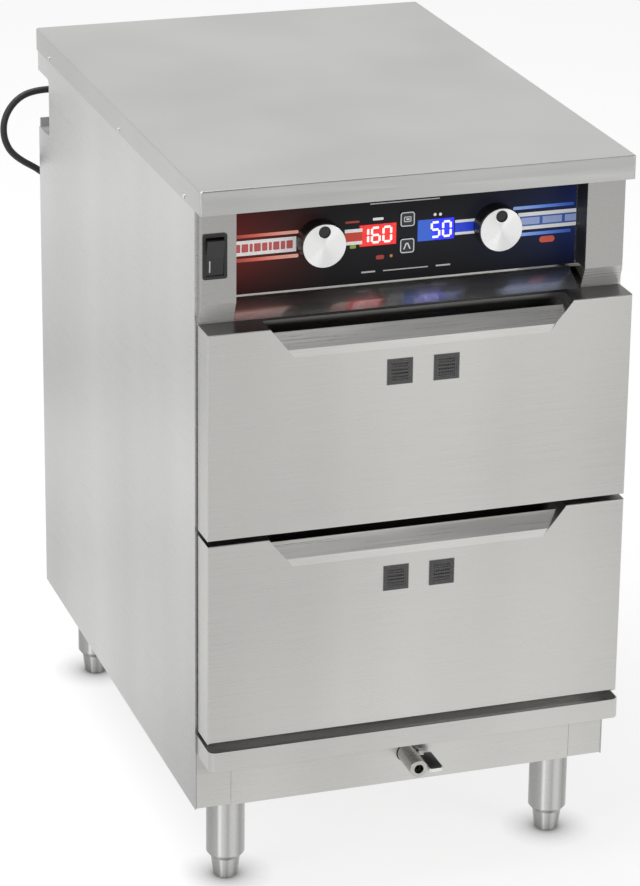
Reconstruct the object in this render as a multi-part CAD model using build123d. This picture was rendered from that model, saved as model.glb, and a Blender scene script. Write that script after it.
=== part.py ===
from build123d import *
from math import acos, cos, pi, sin, sqrt, tan
import os

# Two-drawer heated cabinet. Front faces -Y, +Z is up, the floor is z = 0 and the origin is
# the bottom centre of the cabinet without its mains cord. All sizes are in millimetres.

os.makedirs("parts", exist_ok=True)

# ---- cabinet body ----
WIDTH = 490.0  # over the two side panels
LEG_HEIGHT = 108.0
HEAD_HEIGHT = 154.5  # from the top edge of the upper drawer to the top
REAR_SPACE = 142.0  # from the rear edge of the pans to the back of the top panel
SHEET = 1.2  # stainless sheet
FIT = 0.3  # gap between pieces that move past each other
SEAM = 0.3  # gap between fixed sheets that lie side by side
REAR_INSET = 3.0  # the back sheets sit this far in, so screw heads stay inside the top's lip

TOP_LIP = 27.0  # height of the top panel's folded lip
TOP_OVERHANG = 27.0  # how far the lip stands out at the front
TOP_CORNER = 3.0
LIP_RETURN = 11.0

SIDE_FLANGE = 3.0
BOTTOM_FLANGE = 80.0
NOTCH_DEPTH = 55.0  # cord recess across the back
NOTCH_HEIGHT = 72.0
NOTCH_DROP = 52.0  # ceiling of the recess below the top
NOTCH_CORNER = 7.0
REAR_PANEL_LIP = 11.0  # upstand of the rear panel over the recess's floor
LIP_SCREW_FRONT = 34.0
LIP_SCREW_MIDDLE = 298.0
LIP_SCREW_REAR = 65.0

# ---- base and drip gutter ----
BASE_FRONT_HEIGHT = 95.0
BASE_POST_WIDTH = 41.5
BASE_POST_RETURN = 30.0
GUTTER_REACH = 50.0
GUTTER_HEIGHT = 23.0
GUTTER_BOTTOM = 69.0
GUTTER_CORNER = 8.0
GUTTER_END_GAP = 2.0

# ---- legs ----
LEG_RADIUS = 22.0
LEG_NECK_RADIUS = 17.5
LEG_NECK_HEIGHT = 25.0
LEG_TAPER = 6.0
FOOT_RADIUS = 16.8
FOOT_BOTTOM_RADIUS = 14.0
FOOT_ROUND = 2.0
FOOT_STEM_RADIUS = 8.0
FOOT_STEM_LENGTH = 40.0
LEG_STUD_RADIUS = 5.0
LEG_STUD_LENGTH = 12.0
LEG_SIDE_INSET = 48.0
FRONT_LEG_INSET = 42.0
REAR_LEG_INSET = 65.0

# ---- heated cavity ----
CAVITY_HALF_WIDTH = 198.0
CAVITY_FLOOR_RISE = 1.3  # over the lower drawer's bottom edge
CAVITY_TOP_DROP = 8.5  # under the upper drawer's top edge
CAVITY_REAR_SPACE = 50.0  # behind the drawer carriages
OPENING_LIP = 2.0  # how far the face frame stands in at each side of the cavity
OPENING_BOTTOM_MARGIN = 13.5  # face frame opening inside the bottom of a drawer front
OPENING_TOP_MARGIN = 16.5
BLANKET_GAP = 0.6
TOP_BLANKET = 20.0
BACK_BLANKET = 12.0
TANK_HALF_WIDTH = 150.0
TANK_LENGTH = 470.0
TANK_START = 70.0
TANK_DEPTH = 45.0
TANK_FLANGE = 10.0
HEATER_ROD_RADIUS = 4.0
HEATER_BEND = 14.0
TANK_HEATER_HALF_WIDTH = 60.0
TANK_HEATER_LIFT = 16.0
TANK_HEATER_START = 170.0
TANK_HEATER_STUB = 14.0
AIR_HEATER_HALF_WIDTH = 120.0
AIR_HEATER_HEIGHT = 300.0
AIR_HEATER_LIFT = 70.0
AIR_HEATER_GAP = 10.0
AIR_HEATER_STUB = 6.0
AIR_HEATER_BEND = 8.0
PROBE_RADIUS = 3.0
PROBE_DROP = 32.0
PROBE_SIDE_INSET = 30.0
PROBE_REAR_INSET = 10.0

# ---- drawers ----
DRAWER_FRONT_HEIGHT = 235.5
DRAWER_FRONT_REACH = 41.0
DRAWER_FRONT_GAP = 3.0  # back of the front to the face frame
DRAWER_SIDE_GAP = 2.5
LOWER_FRONT_BOTTOM = 98.7
DRAWER_GAP = 5.8
GASKET_WIDTH = 8.0
GASKET_MARGIN = 4.0
GASKET_SIDE_MARGIN = 7.0

PULL_HALF_WIDTH = 153.0  # finger pull, at the fold of its flap
PULL_FOLD_DROP = 25.5
PULL_BEVEL = 8.5
PULL_BEVEL_DEPTH = 1.4
PULL_SLANT = 0.8  # sideways run of the slanted ends for each millimetre of height
PULL_FLAP_SET_BACK = 14.0
PULL_FLAP_RISE = 16.7
PULL_POCKET_FLOOR = 8.0  # pocket floor below the fold
PULL_POCKET_BACK = 30.0

VENT_SIZE = 29.5
VENT_SPACING = 53.5
VENT_DROP = 61.5
VENT_PROUD = 0.6
VENT_PLATE = 1.4
VENT_SLOT = 1.6
VENT_SLOTS = 6

CARRIAGE_SHEET = 1.5
CARRIAGE_HEIGHT = 55.0
CARRIAGE_REAR_LEDGE = 19.0  # behind the pan's rim
RIM_BELOW_FRONT_TOP = 20.5
PAN_RIM_WIDTH = 324.0
PAN_RIM_LENGTH = 527.0
PAN_RIM_THICKNESS = 1.2
PAN_RIM_CORNER = 20.0
PAN_START = 14.0
PAN_RIM_FLAT = 10.5
PAN_DRAFT = 9.0
PAN_DEPTH = 150.0
PAN_WALL = 1.0
PAN_CORNER = 30.0
PAN_SUPPORT_OVERLAP = 4.0

SLIDE_REAR_REACH = 36.0  # behind the carriage
SLIDE_SPACE = 13.0  # between the cavity's wall and the carriage's
SLIDE_HALF_HEIGHT = 23.0
SLIDE_SHEET = 1.5
SLIDE_START = 6.0
SLIDE_NEST = 0.6  # gap between the members of a slide

# ---- control head ----
FASCIA_PROUD = 12.0
FASCIA_LAP = 3.5  # how far it reaches down behind the upper drawer's top edge
FASCIA_SLOPE_HEIGHT = 28.0
FASCIA_SIDE_GAP = 3.0
FASCIA_LIP = 7.0
STILE_LEFT = 42.5  # from the cabinet's side to the window
STILE_RIGHT = 48.0
WINDOW_DROP = 26.0  # top of the window below the cabinet's top
RECESS_SIDE_GAP = 1.8
RECESS_DEPTH = 33.0
LEDGE_RISE = 16.0
LEDGE_STRIP = 4.0  # steel seen between the ledge and the panel
PANEL_HEIGHT = 106.0
PANEL_THICKNESS = 1.5
CONTROL_RISE = 53.5  # knobs' centre over the panel's bottom edge
CONTROL_CENTRE = 5.0
KNOB_SPACING = 101.5
KNOB_RADIUS = 25.0
KNOB_LENGTH = 20.0
KNOB_EDGE = 1.6
KNOB_DOT_RADIUS = 6.6
KNOB_DOT_OFFSET = 15.5
KNOB_DOT_DEPTH = 1.2
KNOB_SHAFT_RADIUS = 3.0
ENCODER_SIZE = 14.0
ENCODER_LENGTH = 8.0
ENCODER_BUSH_RADIUS = 4.5
DISPLAY_WIDTH = 42.0
DISPLAY_HEIGHT = 24.0
DISPLAY_SPACING = 33.4
DISPLAY_BODY = 8.0
BUTTON_SIZE = 16.6
BUTTON_SPACING = 15.1
BUTTON_PROUD = 1.2
BUTTON_TRAVEL = 0.8
BUTTON_STEM_RADIUS = 3.0
BOARD_GAP = 12.0
BOARD_THICKNESS = 1.6
BOARD_HALF_WIDTH = 140.0
BOARD_MARGIN = 8.0
STANDOFF_RADIUS = 3.0

ROCKER_INSET = 18.5
ROCKER_RISE = 61.3  # over the panel's bottom edge
ROCKER_WIDTH = 27.0
ROCKER_HEIGHT = 50.0
ROCKER_BEZEL = 2.0
ROCKER_BEZEL_LAP = 1.5
ROCKER_RIM = 3.5
ROCKER_BODY_DEPTH = 9.0
ROCKER_PADDLE_REACH = 2.2
ROCKER_TILT = 10.0
ROCKER_PIN_RADIUS = 1.5
ROCKER_PIN_REACH = 1.0
ROCKER_PIVOT_DEPTH = 3.0  # behind the fascia's face
PIN_FIT = 0.05  # radial clearance of a pin in its hole

TERMINAL_WIDTH = 120.0
TERMINAL_DEPTH = 70.0
TERMINAL_HEIGHT = 40.0
TERMINAL_START = 330.0
TERMINAL_SLOTS = 5
TERMINAL_SLOT_WIDTH = 2.0
TERMINAL_SLOT_LENGTH = 25.0
TERMINAL_SLOT_DEPTH = 25.0

# ---- drain ----
DRAIN_X = 4.0
DRAIN_HEIGHT = 35.5
SPOUT_RADIUS = 10.3
SPOUT_BORE = 5.5
SPOUT_BORE_DEPTH = 25.0
SPOUT_REACH = 45.0
VALVE_BODY_REAR = 40.0
BALL_RADIUS = 7.6
BALL_PLACE = 8.0  # ahead of the base's front panel
BALL_BORE = 4.5
DRAIN_PIPE_RADIUS = 8.0
DRAIN_PIPE_WALL = 1.2
DRAIN_PIPE_DROP_AT = 95.0
VALVE_STEM_RADIUS = 3.0
LEVER_HUB_RADIUS = 6.0
LEVER_BLADE_WIDTH = 17.0
LEVER_BLADE_LENGTH = 39.0
LEVER_BLADE_TAIL = 4.0
LEVER_BLADE_THICKNESS = 4.0
LEVER_BLADE_LIFT = 3.0
VALVE_OPENING_HALF_WIDTH = 23.0
VALVE_OPENING_BOTTOM = 16.0
VALVE_OPENING_TOP = 62.0

# ---- mains cord ----
CORD_RADIUS = 4.25
GLAND_SIDE_INSET = 78.0
GLAND_RISE = 34.0  # over the floor of the cord recess
GLAND_FLANGE_RADIUS = 12.0
GLAND_FLANGE = 3.0
GLAND_LENGTH = 34.0
GLAND_BASE_RADIUS = 8.0
GLAND_TIP_RADIUS = 5.2
COIL_TURNS = 3
COIL_OUTER_RADIUS = 54.5
COIL_PITCH = 9.6
COIL_LAYER = 9.3
COIL_X = -75.0
COIL_BEHIND = 74.0
COIL_TAIL = 52.0
COIL_STATIONS = 8  # per turn
COIL_BLEND = 0.5
CORD_REST = 5.6  # centre of the cord where it lies on the floor by its tie
TIE_THICKNESS = 0.9
TIE_WIDTH = 12.0
TIE_GAP = 0.3
PLUG_HEIGHT = 27.0
PLUG_WIDTH = 34.0
PLUG_LENGTH = 36.0
PLUG_BOOT = 22.0
PLUG_BLADE_LENGTH = 17.0
PLUG_BLADE_SPACING = 12.7
PLUG_PIN_RADIUS = 2.4
PLUG_CORNER = 7.0

SCREW_RADIUS = 2.0
SCREW_HEAD_RADIUS = 4.0
SCREW_HEAD = 1.6
SCREW_LENGTH = 8.0

# ---- planes worked out from the sizes ----
DEPTH = PAN_START + PAN_RIM_LENGTH + REAR_SPACE
FRONT = (GUTTER_REACH - DEPTH) / 2
BACK = FRONT + DEPTH
HALF = WIDTH / 2
BASE = LEG_HEIGHT
LOWER_BOTTOM = BASE + LOWER_FRONT_BOTTOM
UPPER_BOTTOM = LOWER_BOTTOM + DRAWER_FRONT_HEIGHT + DRAWER_GAP
HEAD = UPPER_BOTTOM + DRAWER_FRONT_HEIGHT  # top edge of the upper drawer
TOP = HEAD + HEAD_HEIGHT
REAR = BACK - REAR_INSET  # rear face of the back sheets
INNER = HALF - SHEET  # inner face of a side panel
RECESS_WALL = BACK - NOTCH_DEPTH
RECESS_CEILING = TOP - NOTCH_DROP
RECESS_FLOOR = RECESS_CEILING - NOTCH_HEIGHT
FRAME_FACE = FRONT + SHEET
FRAME_BACK = FRONT + 2 * SHEET
CAVITY_FLOOR = LOWER_BOTTOM + CAVITY_FLOOR_RISE
CAVITY_CEILING = HEAD - CAVITY_TOP_DROP
CARRIAGE_END = FRONT + PAN_START + PAN_RIM_LENGTH + CARRIAGE_REAR_LEDGE
CARRIAGE_HALF_WIDTH = CAVITY_HALF_WIDTH - SLIDE_SPACE
SLIDE_END = CARRIAGE_END + SLIDE_REAR_REACH
CAVITY_REAR = CARRIAGE_END + CAVITY_REAR_SPACE + 2 * SHEET
OPENING_HALF_WIDTH = CAVITY_HALF_WIDTH - OPENING_LIP
FASCIA_FOOT = HEAD - FASCIA_LAP
FASCIA_BEND = FASCIA_FOOT + FASCIA_SLOPE_HEIGHT
WINDOW_LEFT = HALF - STILE_LEFT
WINDOW_RIGHT = HALF - STILE_RIGHT
WINDOW_TOP = TOP - WINDOW_DROP
RECESS_HALF_WIDTH = WINDOW_LEFT + RECESS_SIDE_GAP
PANEL_FACE = FRONT + RECESS_DEPTH
PANEL_BACK = PANEL_FACE + PANEL_THICKNESS
RECESS_BACK = PANEL_BACK + SHEET
LEDGE_BACK = FASCIA_FOOT + LEDGE_RISE
PANEL_BOTTOM = LEDGE_BACK + LEDGE_STRIP
PANEL_TOP = PANEL_BOTTOM + PANEL_HEIGHT
CONTROL_Z = PANEL_BOTTOM + CONTROL_RISE
ROCKER_X = -HALF + ROCKER_INSET
ROCKER_Z = PANEL_BOTTOM + ROCKER_RISE
GLAND_X = -HALF + GLAND_SIDE_INSET
GLAND_Z = RECESS_FLOOR + GLAND_RISE
DRAWER_NAMES = ("upper", "lower")
DRAWER_BOTTOMS = {"lower": LOWER_BOTTOM, "upper": UPPER_BOTTOM}


def slab(x0, x1, y0, y1, z0, z1):
    """Block between two corners."""
    middle = ((x0 + x1) / 2, (y0 + y1) / 2, (z0 + z1) / 2)
    return Pos(*middle) * Box(abs(x1 - x0), abs(y1 - y0), abs(z1 - z0))


def rod(start, end, radius):
    """Round bar from one point to another."""
    axis = Vector(*end) - Vector(*start)
    place = Plane(origin=Vector(*start), z_dir=axis)
    return extrude(place * Circle(radius), amount=axis.length)


def prism_x(points, x0, x1):
    """Section given in Y and Z, run along X."""
    face = make_face(Polyline(*[(0, y, z) for y, z in points], close=True))
    return Pos(x0, 0, 0) * extrude(face, amount=x1 - x0, dir=(1, 0, 0))


def prism_y(points, y0, y1):
    """Outline given in X and Z, run along Y."""
    face = make_face(Polyline(*[(x, 0, z) for x, z in points], close=True))
    return Pos(0, y0, 0) * extrude(face, amount=y1 - y0, dir=(0, 1, 0))


def mirrored(piece):
    return mirror(piece, about=Plane.YZ)


def group(pieces):
    return Compound(children=list(pieces))


def save(name, piece):
    export_step(piece, f"parts/{name}.step")


# ---- casing ----


def side_panel():
    """Left side sheet with its flanges and the cord notch at the back."""
    rear = REAR
    top = TOP - SHEET - SEAM
    sheet = slab(-HALF, -INNER, FRONT, rear, BASE, top)
    front_flange = slab(-HALF, -HALF + SIDE_FLANGE, FRONT, FRONT + SHEET, BASE + BASE_FRONT_HEIGHT, top)
    flange_end = -HALF + BOTTOM_FLANGE
    bottom_flange = slab(-HALF, flange_end, FRAME_BACK, rear - 2 * SHEET, BASE, BASE + SHEET)
    panel = sheet + front_flange + bottom_flange
    notch = slab(-HALF - 1, -INNER + 1, RECESS_WALL, rear + 20, RECESS_FLOOR, RECESS_CEILING)
    inner_corners = notch.edges().filter_by(Axis.X).group_by(Axis.Y)[0]
    panel -= fillet(inner_corners, NOTCH_CORNER)
    for y in leg_rows():
        panel -= Pos(-leg_column(), y, BASE) * Cylinder(LEG_STUD_RADIUS + FIT, 4 * SHEET)
    for y in lip_screw_rows():
        hole = rod((-HALF - 1, y, lip_screw_height()), (-INNER + 1, y, lip_screw_height()), SCREW_RADIUS)
        panel -= hole
    return panel


def lip_screw_rows():
    return (FRONT + LIP_SCREW_FRONT, FRONT + LIP_SCREW_MIDDLE, BACK - LIP_SCREW_REAR)


def lip_screw_height():
    return TOP - TOP_LIP + 4.5


def top_half_width():
    return HALF + SEAM + SHEET


def top_panel():
    """Flat top with lips folded down on all four sides."""
    half = top_half_width()
    front = FRONT - TOP_OVERHANG
    shell = slab(-half, half, front, BACK, TOP - TOP_LIP, TOP)
    shell = fillet(shell.edges().filter_by(Axis.Z), TOP_CORNER)
    shell = fillet(shell.faces().sort_by(Axis.Z)[-1].edges(), SHEET + 0.8)
    hollow = slab(
        -half + SHEET, half - SHEET, front + SHEET, BACK - SHEET, TOP - TOP_LIP - 1, TOP - SHEET
    )
    shell -= hollow
    shell += slab(
        -half + SHEET, half - SHEET, front + SHEET / 2, front + LIP_RETURN, TOP - TOP_LIP, TOP - TOP_LIP + SHEET
    )
    for y in lip_screw_rows():
        shell -= rod((-half - 1, y, lip_screw_height()), (half + 1, y, lip_screw_height()), SCREW_RADIUS)
    return shell


def lip_screws():
    """Screws that hold the top's side lips, three on each side."""
    pieces = []
    for y in lip_screw_rows():
        z = lip_screw_height()
        head_start = -top_half_width()
        shank = rod((head_start, y, z), (-INNER + 3, y, z), SCREW_RADIUS)
        head = rod((head_start - 0.9, y, z), (head_start, y, z), SCREW_HEAD_RADIUS * 0.6)
        screw = head + shank
        pieces += [screw, mirrored(screw)]
    return pieces


def rear_screw_places():
    columns = (-HALF + 22, 0, HALF - 22)
    rows = (BASE + 22, (BASE + RECESS_FLOOR) / 2, RECESS_FLOOR - 14)
    return [(x, z) for x in columns for z in rows if x != 0 or z != rows[1]]


def rear_panel():
    """Lower back sheet, with cooling louvres and screw holes."""
    rear_top = RECESS_FLOOR + REAR_PANEL_LIP
    panel = slab(-INNER + SEAM, INNER - SEAM, REAR - SHEET, REAR, BASE + SHEET, rear_top)
    louvre_length = 62.0
    louvre_height = 5.0
    louvre_pitch = 16.0
    for column in (-1, 1):
        for row in range(7):
            centre = (column * 110, REAR - SHEET / 2, BASE + 60 + row * louvre_pitch)
            panel -= Pos(*centre) * Box(louvre_length, 4 * SHEET, louvre_height)
    for x, z in rear_screw_places():
        panel -= rod((x, REAR - 5, z), (x, REAR + 5, z), SCREW_RADIUS)
    return panel


def rear_screws():
    pieces = []
    for x, z in rear_screw_places():
        head = rod((x, REAR, z), (x, REAR + SCREW_HEAD, z), SCREW_HEAD_RADIUS)
        pieces.append(head + rod((x, REAR - SCREW_LENGTH, z), (x, REAR, z), SCREW_RADIUS))
    return pieces


def recess_wall():
    """Folded sheet that forms the cord recess: floor, wall, ceiling and the strip above it."""
    x0, x1 = -INNER + SEAM, INNER - SEAM
    floor_z = RECESS_FLOOR
    ceiling_z = RECESS_CEILING
    inner_rear = REAR - SHEET - SEAM
    floor_sheet = slab(x0, x1, RECESS_WALL - SHEET, inner_rear, floor_z - SHEET, floor_z)
    wall = slab(x0, x1, RECESS_WALL - SHEET, RECESS_WALL, floor_z - SHEET, ceiling_z + SHEET)
    ceiling = slab(x0, x1, RECESS_WALL - SHEET, inner_rear, ceiling_z, ceiling_z + SHEET)
    strip = slab(x0, x1, inner_rear - SHEET, inner_rear, ceiling_z, TOP - SHEET - SEAM)
    tray = floor_sheet + wall + ceiling + strip
    gland = (GLAND_X, RECESS_WALL - 5, GLAND_Z)
    tray -= rod(gland, (GLAND_X, RECESS_WALL + 5, GLAND_Z), GLAND_BASE_RADIUS)
    return tray


# ---- base, legs and gutter ----


def leg_column():
    return HALF - LEG_SIDE_INSET


def leg_rows():
    return (FRONT + FRONT_LEG_INSET, BACK - REAR_LEG_INSET)


def leg_places():
    """Leg centres by name."""
    front, rear = leg_rows()
    column = leg_column()
    return {
        "front_left": (-column, front),
        "front_right": (column, front),
        "rear_left": (-column, rear),
        "rear_right": (column, rear),
    }


def base_pan():
    """Flat floor of the casing, on the bottom flanges of the side panels."""
    pan = slab(
        -INNER + SEAM, INNER - SEAM, FRAME_BACK, REAR - 2 * SHEET, BASE + SHEET, BASE + 2 * SHEET
    )
    for x, y in leg_places().values():
        pan -= Pos(x, y, BASE + SHEET) * Cylinder(LEG_STUD_RADIUS + FIT, 6 * SHEET)
    return pan


def leg():
    """Turned leg at the origin, standing from its neck up to the base, with a stud on top."""
    neck_z = LEG_NECK_HEIGHT
    outline = [
        (0, neck_z + FOOT_STEM_LENGTH + 4),
        (FOOT_STEM_RADIUS + FIT, neck_z + FOOT_STEM_LENGTH + 4),
        (FOOT_STEM_RADIUS + FIT, neck_z),
        (LEG_NECK_RADIUS, neck_z),
        (LEG_RADIUS, neck_z + LEG_TAPER),
        (LEG_RADIUS, BASE),
        (LEG_STUD_RADIUS, BASE),
        (LEG_STUD_RADIUS, BASE + LEG_STUD_LENGTH),
        (0, BASE + LEG_STUD_LENGTH),
    ]
    face = make_face(Polyline(*[(r, 0, z) for r, z in outline], close=True))
    return revolve(face, Axis.Z)


def foot():
    """Levelling foot at the origin: tapered shoe and a stem that runs up inside the leg."""
    shoe_top = LEG_NECK_HEIGHT - FIT
    outline = [
        (0, 0),
        (FOOT_BOTTOM_RADIUS - FOOT_ROUND, 0),
        (FOOT_BOTTOM_RADIUS, FOOT_ROUND),
        (FOOT_RADIUS, shoe_top),
        (FOOT_STEM_RADIUS, shoe_top),
        (FOOT_STEM_RADIUS, shoe_top + FOOT_STEM_LENGTH),
        (0, shoe_top + FOOT_STEM_LENGTH),
    ]
    face = make_face(Polyline(*[(r, 0, z) for r, z in outline], close=True))
    return revolve(face, Axis.Z)


def base_front_panel():
    """Middle sheet of the base's front, open round the drain valve."""
    half = HALF - BASE_POST_WIDTH - SEAM
    panel = slab(-half, half, FRONT, FRAME_FACE, BASE, BASE + BASE_FRONT_HEIGHT - SEAM)
    fold_half = HALF - BOTTOM_FLANGE - SEAM
    panel += slab(-fold_half, fold_half, FRONT, FRONT + 12, BASE, BASE + SHEET)
    opening = slab(
        DRAIN_X - VALVE_OPENING_HALF_WIDTH,
        DRAIN_X + VALVE_OPENING_HALF_WIDTH,
        FRONT - 5,
        FRONT + 5,
        BASE + VALVE_OPENING_BOTTOM,
        BASE + VALVE_OPENING_TOP,
    )
    return panel - opening


def base_post():
    """Left corner piece of the base's front: an angle that laps the side panel inside."""
    x0 = -HALF + SHEET + SEAM
    x1 = -HALF + BASE_POST_WIDTH
    top = BASE + BASE_FRONT_HEIGHT - SEAM
    face = slab(x0, x1, FRONT, FRAME_FACE, BASE + SHEET + SEAM, top)
    inner_return = slab(x0, x0 + SHEET, FRONT, FRONT + BASE_POST_RETURN, BASE + 3 * SHEET, top)
    return face + inner_return


def drip_gutter():
    """Open trough across the front, under the lower drawer."""
    half = HALF - GUTTER_END_GAP
    z0 = BASE + GUTTER_BOTTOM
    z1 = z0 + GUTTER_HEIGHT
    y0 = FRONT - GUTTER_REACH
    outer = slab(-half, half, y0, FRONT, z0, z1)
    outer = fillet(outer.edges().filter_by(Axis.Z).group_by(Axis.Y)[0], GUTTER_CORNER)
    inner = slab(-half + SHEET, half - SHEET, y0 + SHEET, FRONT - SHEET, z0 + SHEET, z1 + 5)
    inner = fillet(inner.edges().filter_by(Axis.Z).group_by(Axis.Y)[0], GUTTER_CORNER - SHEET)
    return outer - inner


# ---- heated cavity ----


def front_opening(name):
    """Bottom and top of a drawer's opening in the face frame."""
    z0 = DRAWER_BOTTOMS[name]
    return z0 + OPENING_BOTTOM_MARGIN, z0 + DRAWER_FRONT_HEIGHT - OPENING_TOP_MARGIN


def face_frame():
    """Front frame of the cavity, with one opening for each drawer."""
    frame = slab(
        -INNER + SEAM, INNER - SEAM, FRAME_FACE, FRAME_BACK, BASE + BASE_FRONT_HEIGHT, CAVITY_CEILING + SHEET
    )
    for name in DRAWER_NAMES:
        z0, z1 = front_opening(name)
        frame -= slab(-OPENING_HALF_WIDTH, OPENING_HALF_WIDTH, FRONT - 5, FRONT + 10, z0, z1)
    return frame


def cavity_liner():
    """Five-sided inner box, open at the front, with a hole in its floor for the water tank."""
    half = CAVITY_HALF_WIDTH
    outer = slab(
        -half - SHEET, half + SHEET, FRAME_BACK, CAVITY_REAR + SHEET, CAVITY_FLOOR - SHEET, CAVITY_CEILING + SHEET
    )
    inner = slab(-half, half, FRAME_BACK - 5, CAVITY_REAR, CAVITY_FLOOR, CAVITY_CEILING)
    hole = slab(
        -TANK_HALF_WIDTH - SEAM,
        TANK_HALF_WIDTH + SEAM,
        tank_front() - SEAM,
        tank_front() + TANK_LENGTH + SEAM,
        CAVITY_FLOOR - 5,
        CAVITY_FLOOR + 1,
    )
    liner = outer - inner - hole
    for x in (-1, 1):
        place = (x * AIR_HEATER_HALF_WIDTH, CAVITY_REAR, air_heater_low())
        liner -= rod(place, (place[0], place[1] + 5, place[2]), HEATER_ROD_RADIUS)
    return liner


def insulation_blankets():
    """Mineral wool round the cavity: two sides, the back and the top."""
    z0 = CAVITY_FLOOR
    z1 = CAVITY_CEILING
    side_x0 = -INNER + BLANKET_GAP
    side_x1 = -CAVITY_HALF_WIDTH - SHEET - BLANKET_GAP
    rear = CAVITY_REAR
    side = slab(side_x0, side_x1, FRAME_BACK + BASE_POST_RETURN, rear, z0, z1)
    back_y = rear + SHEET + BLANKET_GAP
    back = slab(-CAVITY_HALF_WIDTH, CAVITY_HALF_WIDTH, back_y, back_y + BACK_BLANKET, z0, z1)
    for x in (-1, 1):
        place = (x * AIR_HEATER_HALF_WIDTH, back_y - 1, air_heater_low())
        back -= rod(place, (place[0], back_y + BACK_BLANKET + 1, place[2]), HEATER_ROD_RADIUS + 1)
    top_z = CAVITY_CEILING + SHEET + BLANKET_GAP
    top = slab(
        -CAVITY_HALF_WIDTH, CAVITY_HALF_WIDTH, RECESS_BACK + 6, rear - 10, top_z, top_z + TOP_BLANKET
    )
    return [side, mirrored(side), back, top]


def tank_front():
    return FRONT + TANK_START


def water_tank():
    """Open tank hung in the cavity floor; its water keeps the air moist."""
    y0 = tank_front()
    y1 = y0 + TANK_LENGTH
    z1 = CAVITY_FLOOR
    outer = slab(-TANK_HALF_WIDTH, TANK_HALF_WIDTH, y0, y1, z1 - TANK_DEPTH, z1 + SHEET)
    flange = slab(
        -TANK_HALF_WIDTH - TANK_FLANGE, TANK_HALF_WIDTH + TANK_FLANGE, y0 - TANK_FLANGE, y1 + TANK_FLANGE, z1, z1 + SHEET
    )
    inner = slab(
        -TANK_HALF_WIDTH + SHEET, TANK_HALF_WIDTH - SHEET, y0 + SHEET, y1 - SHEET, z1 - TANK_DEPTH + SHEET, z1 + 5
    )
    tank = outer + flange - inner
    drain = (DRAIN_X, FRONT + DRAIN_PIPE_DROP_AT, z1 - TANK_DEPTH)
    tank -= Pos(*drain) * Cylinder(DRAIN_PIPE_RADIUS - DRAIN_PIPE_WALL, 5 * SHEET)
    for x in (-1, 1):
        hole = (x * TANK_HEATER_HALF_WIDTH, y1, tank_heater_z())
        tank -= rod((hole[0], y1 - 5, hole[2]), (hole[0], y1 + 5, hole[2]), HEATER_ROD_RADIUS)
    return tank


def tank_heater_z():
    return CAVITY_FLOOR - TANK_DEPTH + TANK_HEATER_LIFT


def heater_loop(points, bend):
    """Bent heating rod through the points, with rounded corners."""
    path = FilletPolyline(*points, radius=bend)
    section = Plane(origin=path @ 0, z_dir=path % 0) * Circle(HEATER_ROD_RADIUS)
    return sweep(section, path=path)


def immersion_heater():
    """Hairpin rod in the tank, with its ends through the rear wall."""
    y_front = tank_front() + TANK_HEATER_START
    y_rear = tank_front() + TANK_LENGTH + TANK_HEATER_STUB
    half = TANK_HEATER_HALF_WIDTH
    z = tank_heater_z()
    points = [(-half, y_rear, z), (-half, y_front, z), (half, y_front, z), (half, y_rear, z)]
    return heater_loop(points, HEATER_BEND)


def air_heater_low():
    return CAVITY_FLOOR + AIR_HEATER_LIFT


def air_heater():
    """Rod loop along the back wall of the cavity, that warms the air."""
    y = CAVITY_REAR - AIR_HEATER_GAP
    y_end = CAVITY_REAR + SHEET + BACK_BLANKET + AIR_HEATER_STUB
    half = AIR_HEATER_HALF_WIDTH
    z0 = air_heater_low()
    z1 = z0 + AIR_HEATER_HEIGHT
    points = [
        (-half, y_end, z0),
        (-half, y, z0),
        (-half, y, z1),
        (half, y, z1),
        (half, y, z0),
        (half, y_end, z0),
    ]
    return heater_loop(points, AIR_HEATER_BEND)


def level_probe():
    """Water level probe on a bracket at the tank's rear end."""
    x = TANK_HALF_WIDTH - PROBE_SIDE_INSET
    y = tank_front() + TANK_LENGTH - PROBE_REAR_INSET
    z = CAVITY_FLOOR + SHEET
    bracket = slab(x - 8, x + 8, y - 8, y + TANK_FLANGE + 10, z, z + 2)
    tip = rod((x, y, z + 2), (x, y, z - PROBE_DROP), PROBE_RADIUS)
    head = rod((x, y, z + 2), (x, y, z + 12), PROBE_RADIUS * 2)
    return bracket + tip + head


# ---- slides ----


def slide_height(name):
    return rim_height(name) - CARRIAGE_HEIGHT / 2


def cabinet_slide(name):
    """Outer member on the left cavity wall, open inwards."""
    z = slide_height(name)
    y0 = FRONT + SLIDE_START
    y1 = SLIDE_END
    x_wall = -CAVITY_HALF_WIDTH
    x_web = x_wall + SLIDE_SHEET
    lip = x_web + 7.0
    top = SLIDE_HALF_HEIGHT
    member = slab(x_wall, x_web, y0, y1, z - top, z + top)
    member += slab(x_wall, lip, y0, y1, z + top - SLIDE_SHEET, z + top)
    member += slab(x_wall, lip, y0, y1, z - top, z - top + SLIDE_SHEET)
    return member


def middle_slide(name):
    """Middle member of the left slide, nested between the other two."""
    z = slide_height(name)
    y0 = FRONT + SLIDE_START
    y1 = SLIDE_END
    x_outer = -CAVITY_HALF_WIDTH + SLIDE_SHEET + SLIDE_NEST
    x_web = x_outer + 4.4
    x_inner = x_web + SLIDE_SHEET + 3.2
    top = SLIDE_HALF_HEIGHT - SLIDE_SHEET - SLIDE_NEST
    grip = carriage_slide_half_height() + SLIDE_NEST
    member = slab(x_web, x_web + SLIDE_SHEET, y0, y1, z - top, z + top)
    for side in (-1, 1):
        outer_edge = z + side * top
        inner_edge = z + side * grip
        member += slab(x_outer, x_web + SLIDE_SHEET, y0, y1, outer_edge - side * SLIDE_SHEET, outer_edge)
        member += slab(x_web, x_inner, y0, y1, inner_edge, inner_edge + side * SLIDE_SHEET)
    return member


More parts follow.
